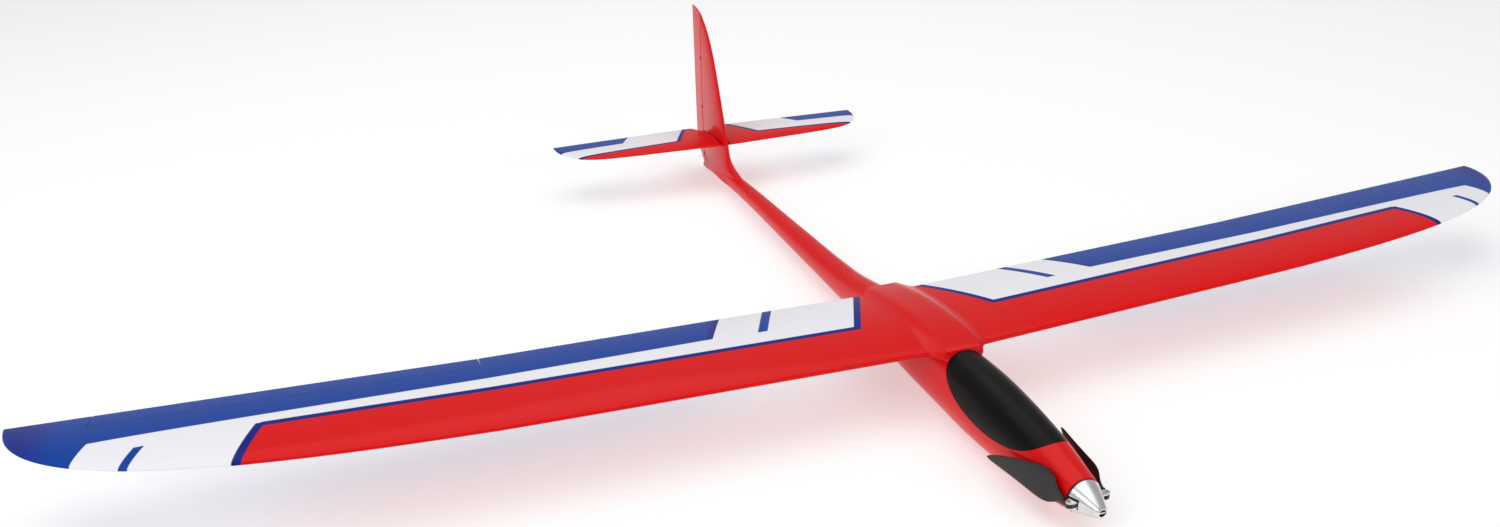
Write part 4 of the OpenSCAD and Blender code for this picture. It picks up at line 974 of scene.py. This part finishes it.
spinner = cone("spinner_polished", 0.0, CONE_TIP_R)
core = cone("spinner_core", WALL, HOLE_R, 1.0)
web = block("web", (-30, y_nose + 0.6, axis_z - WEB_HALF), (30, y_nose + 6, axis_z + WEB_HALF))
carve(core, web)
carve(spinner, core)
arm_slot = block("arm_slot", (-40, hub_y - 5, axis_z - ARM_HALF),
                 (40, y_base + 1, axis_z + ARM_HALF))
carve(spinner, arm_slot)
split = block("split", (-25, y_nose - 1, axis_z - SPLIT_HALF),
              (25, hub_y - 4, axis_z + SPLIT_HALF))
carve(split, cone("split_depth", SPLIT_DEEP, CONE_TIP_R - SPLIT_DEEP, 2.0))
carve(spinner, split)
dress(spinner, FINISHES["polished_aluminium"], "propeller", "spinner_cone")
print("spinner triangles", len(spinner.data.polygons) * 2)

# %% [markdown]
# A folding blade is moulded from carbon cloth: round at the pin, broadest near the root, and
# drawn out to a narrow tip. Its width, sweep, pitch and thickness are stations on a smooth
# curve, like the body's, so the blade is a row of thin ovals.

# %% Folding blades
BLADE = np.array([
    (0.06, 0.2, 0, 0, 4.4), (0.13, 0.42, -0.05, 4, 4), (0.22, 0.88, -0.13, 10, 3.4),
    (0.32, 1, -0.15, 12, 2.8), (0.5, 0.84, -0.1, 11, 2.3), (0.7, 0.58, 0, 9, 1.9),
    (0.87, 0.34, 0.1, 8, 1.4), (0.96, 0.17, 0.17, 8, 1), (1, 0.05, 0.2, 8, 0.6)])
BLADE_LEN, BLADE_W, PIN_X = 114.0, 34.0, 21.5
EYE_R, EYE_HALF, PIN_HOLE_R = 3.5, 2.3, 1.55
lean = math.radians(12)


def blade_point(x, y, z):
    return (PIN_X + x * math.cos(lean) + y * math.sin(lean),
            hub_y - x * math.sin(lean) + y * math.cos(lean), axis_z + z)


def blade_ring(u, n=44):
    wide, mid = along(BLADE, u, 1) * BLADE_W, along(BLADE, u, 2) * BLADE_W
    pitch, thick = math.radians(along(BLADE, u, 3)), along(BLADE, u, 4)
    a = 2 * np.pi * (np.arange(n) + 0.5) / n
    chordwise = wide / 2 * np.cos(a)
    through = thick / 2 * np.sin(a) * np.where(np.sin(a) > 0, 1.25, 0.75)
    x = chordwise * math.sin(pitch) - through * math.cos(pitch)
    z = mid + chordwise * math.cos(pitch) + through * math.sin(pitch)
    return [blade_point(p, u * BLADE_LEN, q) for p, q in zip(x, z)]


def root_ring(z, r, n):
    return [blade_point(r * math.cos(a), r * math.sin(a), z)
            for a in np.linspace(0, 2 * np.pi, n, endpoint=False)]


blade_rows = np.concatenate([np.linspace(0.06, 0.9, 56), np.linspace(0.91, 1, 14)])
blade_left = skin("blade_carbon_left", [blade_ring(u) for u in blade_rows])
tongue = [(-2.2, 0), (2.2, 0), (2.2, 9), (-2.2, 9)]
eye = skin("blade_eye", [root_ring(z, EYE_R, 48) for z in (-EYE_HALF, EYE_HALF)])
neck = skin("blade_tongue", [[blade_point(x, y, z) for x, y in tongue]
                             for z in (-EYE_HALF, EYE_HALF)])
for tool in (eye, neck):
    carve(blade_left, tool, "UNION")
carve(blade_left, skin("pin_hole", [root_ring(z, PIN_HOLE_R, 32) for z in (-9, 9)]))
blade_right = new_piece("blade_carbon_right", blade_left.data.copy())
for vertex in blade_right.data.vertices:
    vertex.co.x = -vertex.co.x
    vertex.co.z = 2 * axis_z * MM - vertex.co.z
for side, piece in (("left", blade_left), ("right", blade_right)):
    dress(piece, FINISHES["carbon"], f"blade_{side}", f"blade_{side}")
print("blade triangles", len(blade_left.data.polygons) * 2)

# %% [markdown]
# Small things that repeat are a tree of Geometry Nodes. This one puts a slotted screw head on
# each of four points, at the corners of a servo cover, so that one head serves them all.

# %% Screws on the servo covers
def tree_with(name, **sizes):
    tree = bpy.data.node_groups.new(name, "GeometryNodeTree")
    tree.interface.new_socket("Geometry", in_out="INPUT", socket_type="NodeSocketGeometry")
    tree.interface.new_socket("Geometry", in_out="OUTPUT", socket_type="NodeSocketGeometry")
    keys = {}
    for label, amount in sizes.items():
        socket = tree.interface.new_socket(label, in_out="INPUT", socket_type="NodeSocketFloat")
        socket.default_value = amount
        keys[label] = socket.identifier
    entry, leave = tree.nodes.new("NodeGroupInput"), tree.nodes.new("NodeGroupOutput")
    return tree, entry, leave, keys


def geo(tree, kind, settings=None, **inputs):
    node = tree.nodes.new(kind)
    for key, value in (settings or {}).items():
        setattr(node, key, value)
    for key, item in inputs.items():
        slot = node.inputs[key.replace("_", " ")]
        if isinstance(item, bpy.types.NodeSocket):
            tree.links.new(item, slot)
        else:
            slot.default_value = item
    return node


def grown(name, mesh, tree, values, body):
    """Run a tree on a mesh and keep the result as a plain mesh in its own piece."""
    piece = new_piece(name, mesh)
    modifier = piece.modifiers.new("grow", "NODES")
    modifier.node_group = tree
    for key, value in values.items():
        modifier[key] = value
    bpy.context.view_layer.update()
    made = bpy.data.meshes.new_from_object(
        piece.evaluated_get(bpy.context.evaluated_depsgraph_get()))
    piece.modifiers.remove(modifier)
    piece.data = made
    made.set_sharp_from_angle(angle=math.radians(CRISP))
    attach(piece, body)
    return piece


screw_head, screw_inset = 0.0011, 2.0
screw_tree, entry, leave, screw_keys = tree_with("cover_screws", Head=screw_head, Tall=0.0005)
head = geo(screw_tree, "GeometryNodeMeshCylinder", Vertices=20)
screw_tree.links.new(entry.outputs["Head"], head.inputs["Radius"])
screw_tree.links.new(entry.outputs["Tall"], head.inputs["Depth"])
slot_cut = geo(screw_tree, "GeometryNodeMeshCube", Size=(0.0003, 0.0018, 0.0004))
drop = geo(screw_tree, "GeometryNodeTransform", Geometry=slot_cut.outputs["Mesh"],
           Translation=(0, 0, -0.00025))
slotted = geo(screw_tree, "GeometryNodeMeshBoolean", {"operation": "DIFFERENCE"},
              Mesh_1=head.outputs["Mesh"])
screw_tree.links.new(drop.outputs[0], slotted.inputs["Mesh 2"])
placed = geo(screw_tree, "GeometryNodeInstanceOnPoints", Points=entry.outputs["Geometry"],
             Instance=slotted.outputs["Mesh"])
real = geo(screw_tree, "GeometryNodeRealizeInstances", Geometry=placed.outputs[0])
steel = geo(screw_tree, "GeometryNodeSetMaterial", Geometry=real.outputs[0],
            Material=FINISHES["steel"])
screw_tree.links.new(steel.outputs[0], leave.inputs[0])

corners = [(x, y) for x in (cover_low.x + screw_inset, cover_high.x - screw_inset)
           for y in (cover_low.y + screw_inset, cover_high.y - screw_inset)]
for side, turn in (("left", 1), ("right", -1)):
    points = bpy.data.meshes.new(f"screw_places_{side}")
    points.from_pydata([(turn * x * MM, y * MM, (skin_height(x, y_te - y, -1) + 0.05) * MM)
                        for x, y in corners], [], [])
    screws = grown(f"cover_screws_{side}", points, screw_tree,
                   {screw_keys["Head"]: screw_head}, "fuselage")
    print(screws.name, "faces", len(screws.data.polygons))

# %% [markdown]
# The second tree draws the mould seam: a hair-thin bead along the top of the pod and boom, as a
# tube on a curve. A painted line would be simpler, but it would have no height at the outline.

# %% Mould seam
bead_r = 0.00016
seam_tree, entry, leave, seam_keys = tree_with("mould_seam", Bead=bead_r)
path = geo(seam_tree, "GeometryNodeMeshToCurve", Mesh=entry.outputs["Geometry"])
profile = geo(seam_tree, "GeometryNodeCurvePrimitiveCircle", Resolution=8)
seam_tree.links.new(entry.outputs["Bead"], profile.inputs["Radius"])
bead = geo(seam_tree, "GeometryNodeCurveToMesh", Curve=path.outputs[0],
           Profile_Curve=profile.outputs["Curve"])
bead.inputs["Fill Caps"].default_value = True
real = geo(seam_tree, "GeometryNodeRealizeInstances", Geometry=bead.outputs[0])
red = geo(seam_tree, "GeometryNodeSetMaterial", Geometry=real.outputs[0],
          Material=FINISHES["red_shell"])
seam_tree.links.new(red.outputs[0], leave.inputs[0])


def seam(name, y_from, y_to, count):
    ys = np.linspace(y_from, y_to, count)
    mesh = bpy.data.meshes.new(name)
    mesh.from_pydata([(0, y * MM, along(BODY, y, 2) * MM) for y in ys],
                     [(i, i + 1) for i in range(count - 1)], [])
    bead_piece = grown(name, mesh, seam_tree, {seam_keys["Bead"]: bead_r}, "fuselage")
    return bead_piece


for name, y_from, y_to, count in (("mould_seam_nose", y_ring + 0.5, canopy_mid - canopy_reach - 1, 24),
                                  ("mould_seam_boom", y_te + 24, fin_foot - 30, 90)):
    print(seam(name, y_from, y_to, count).name)
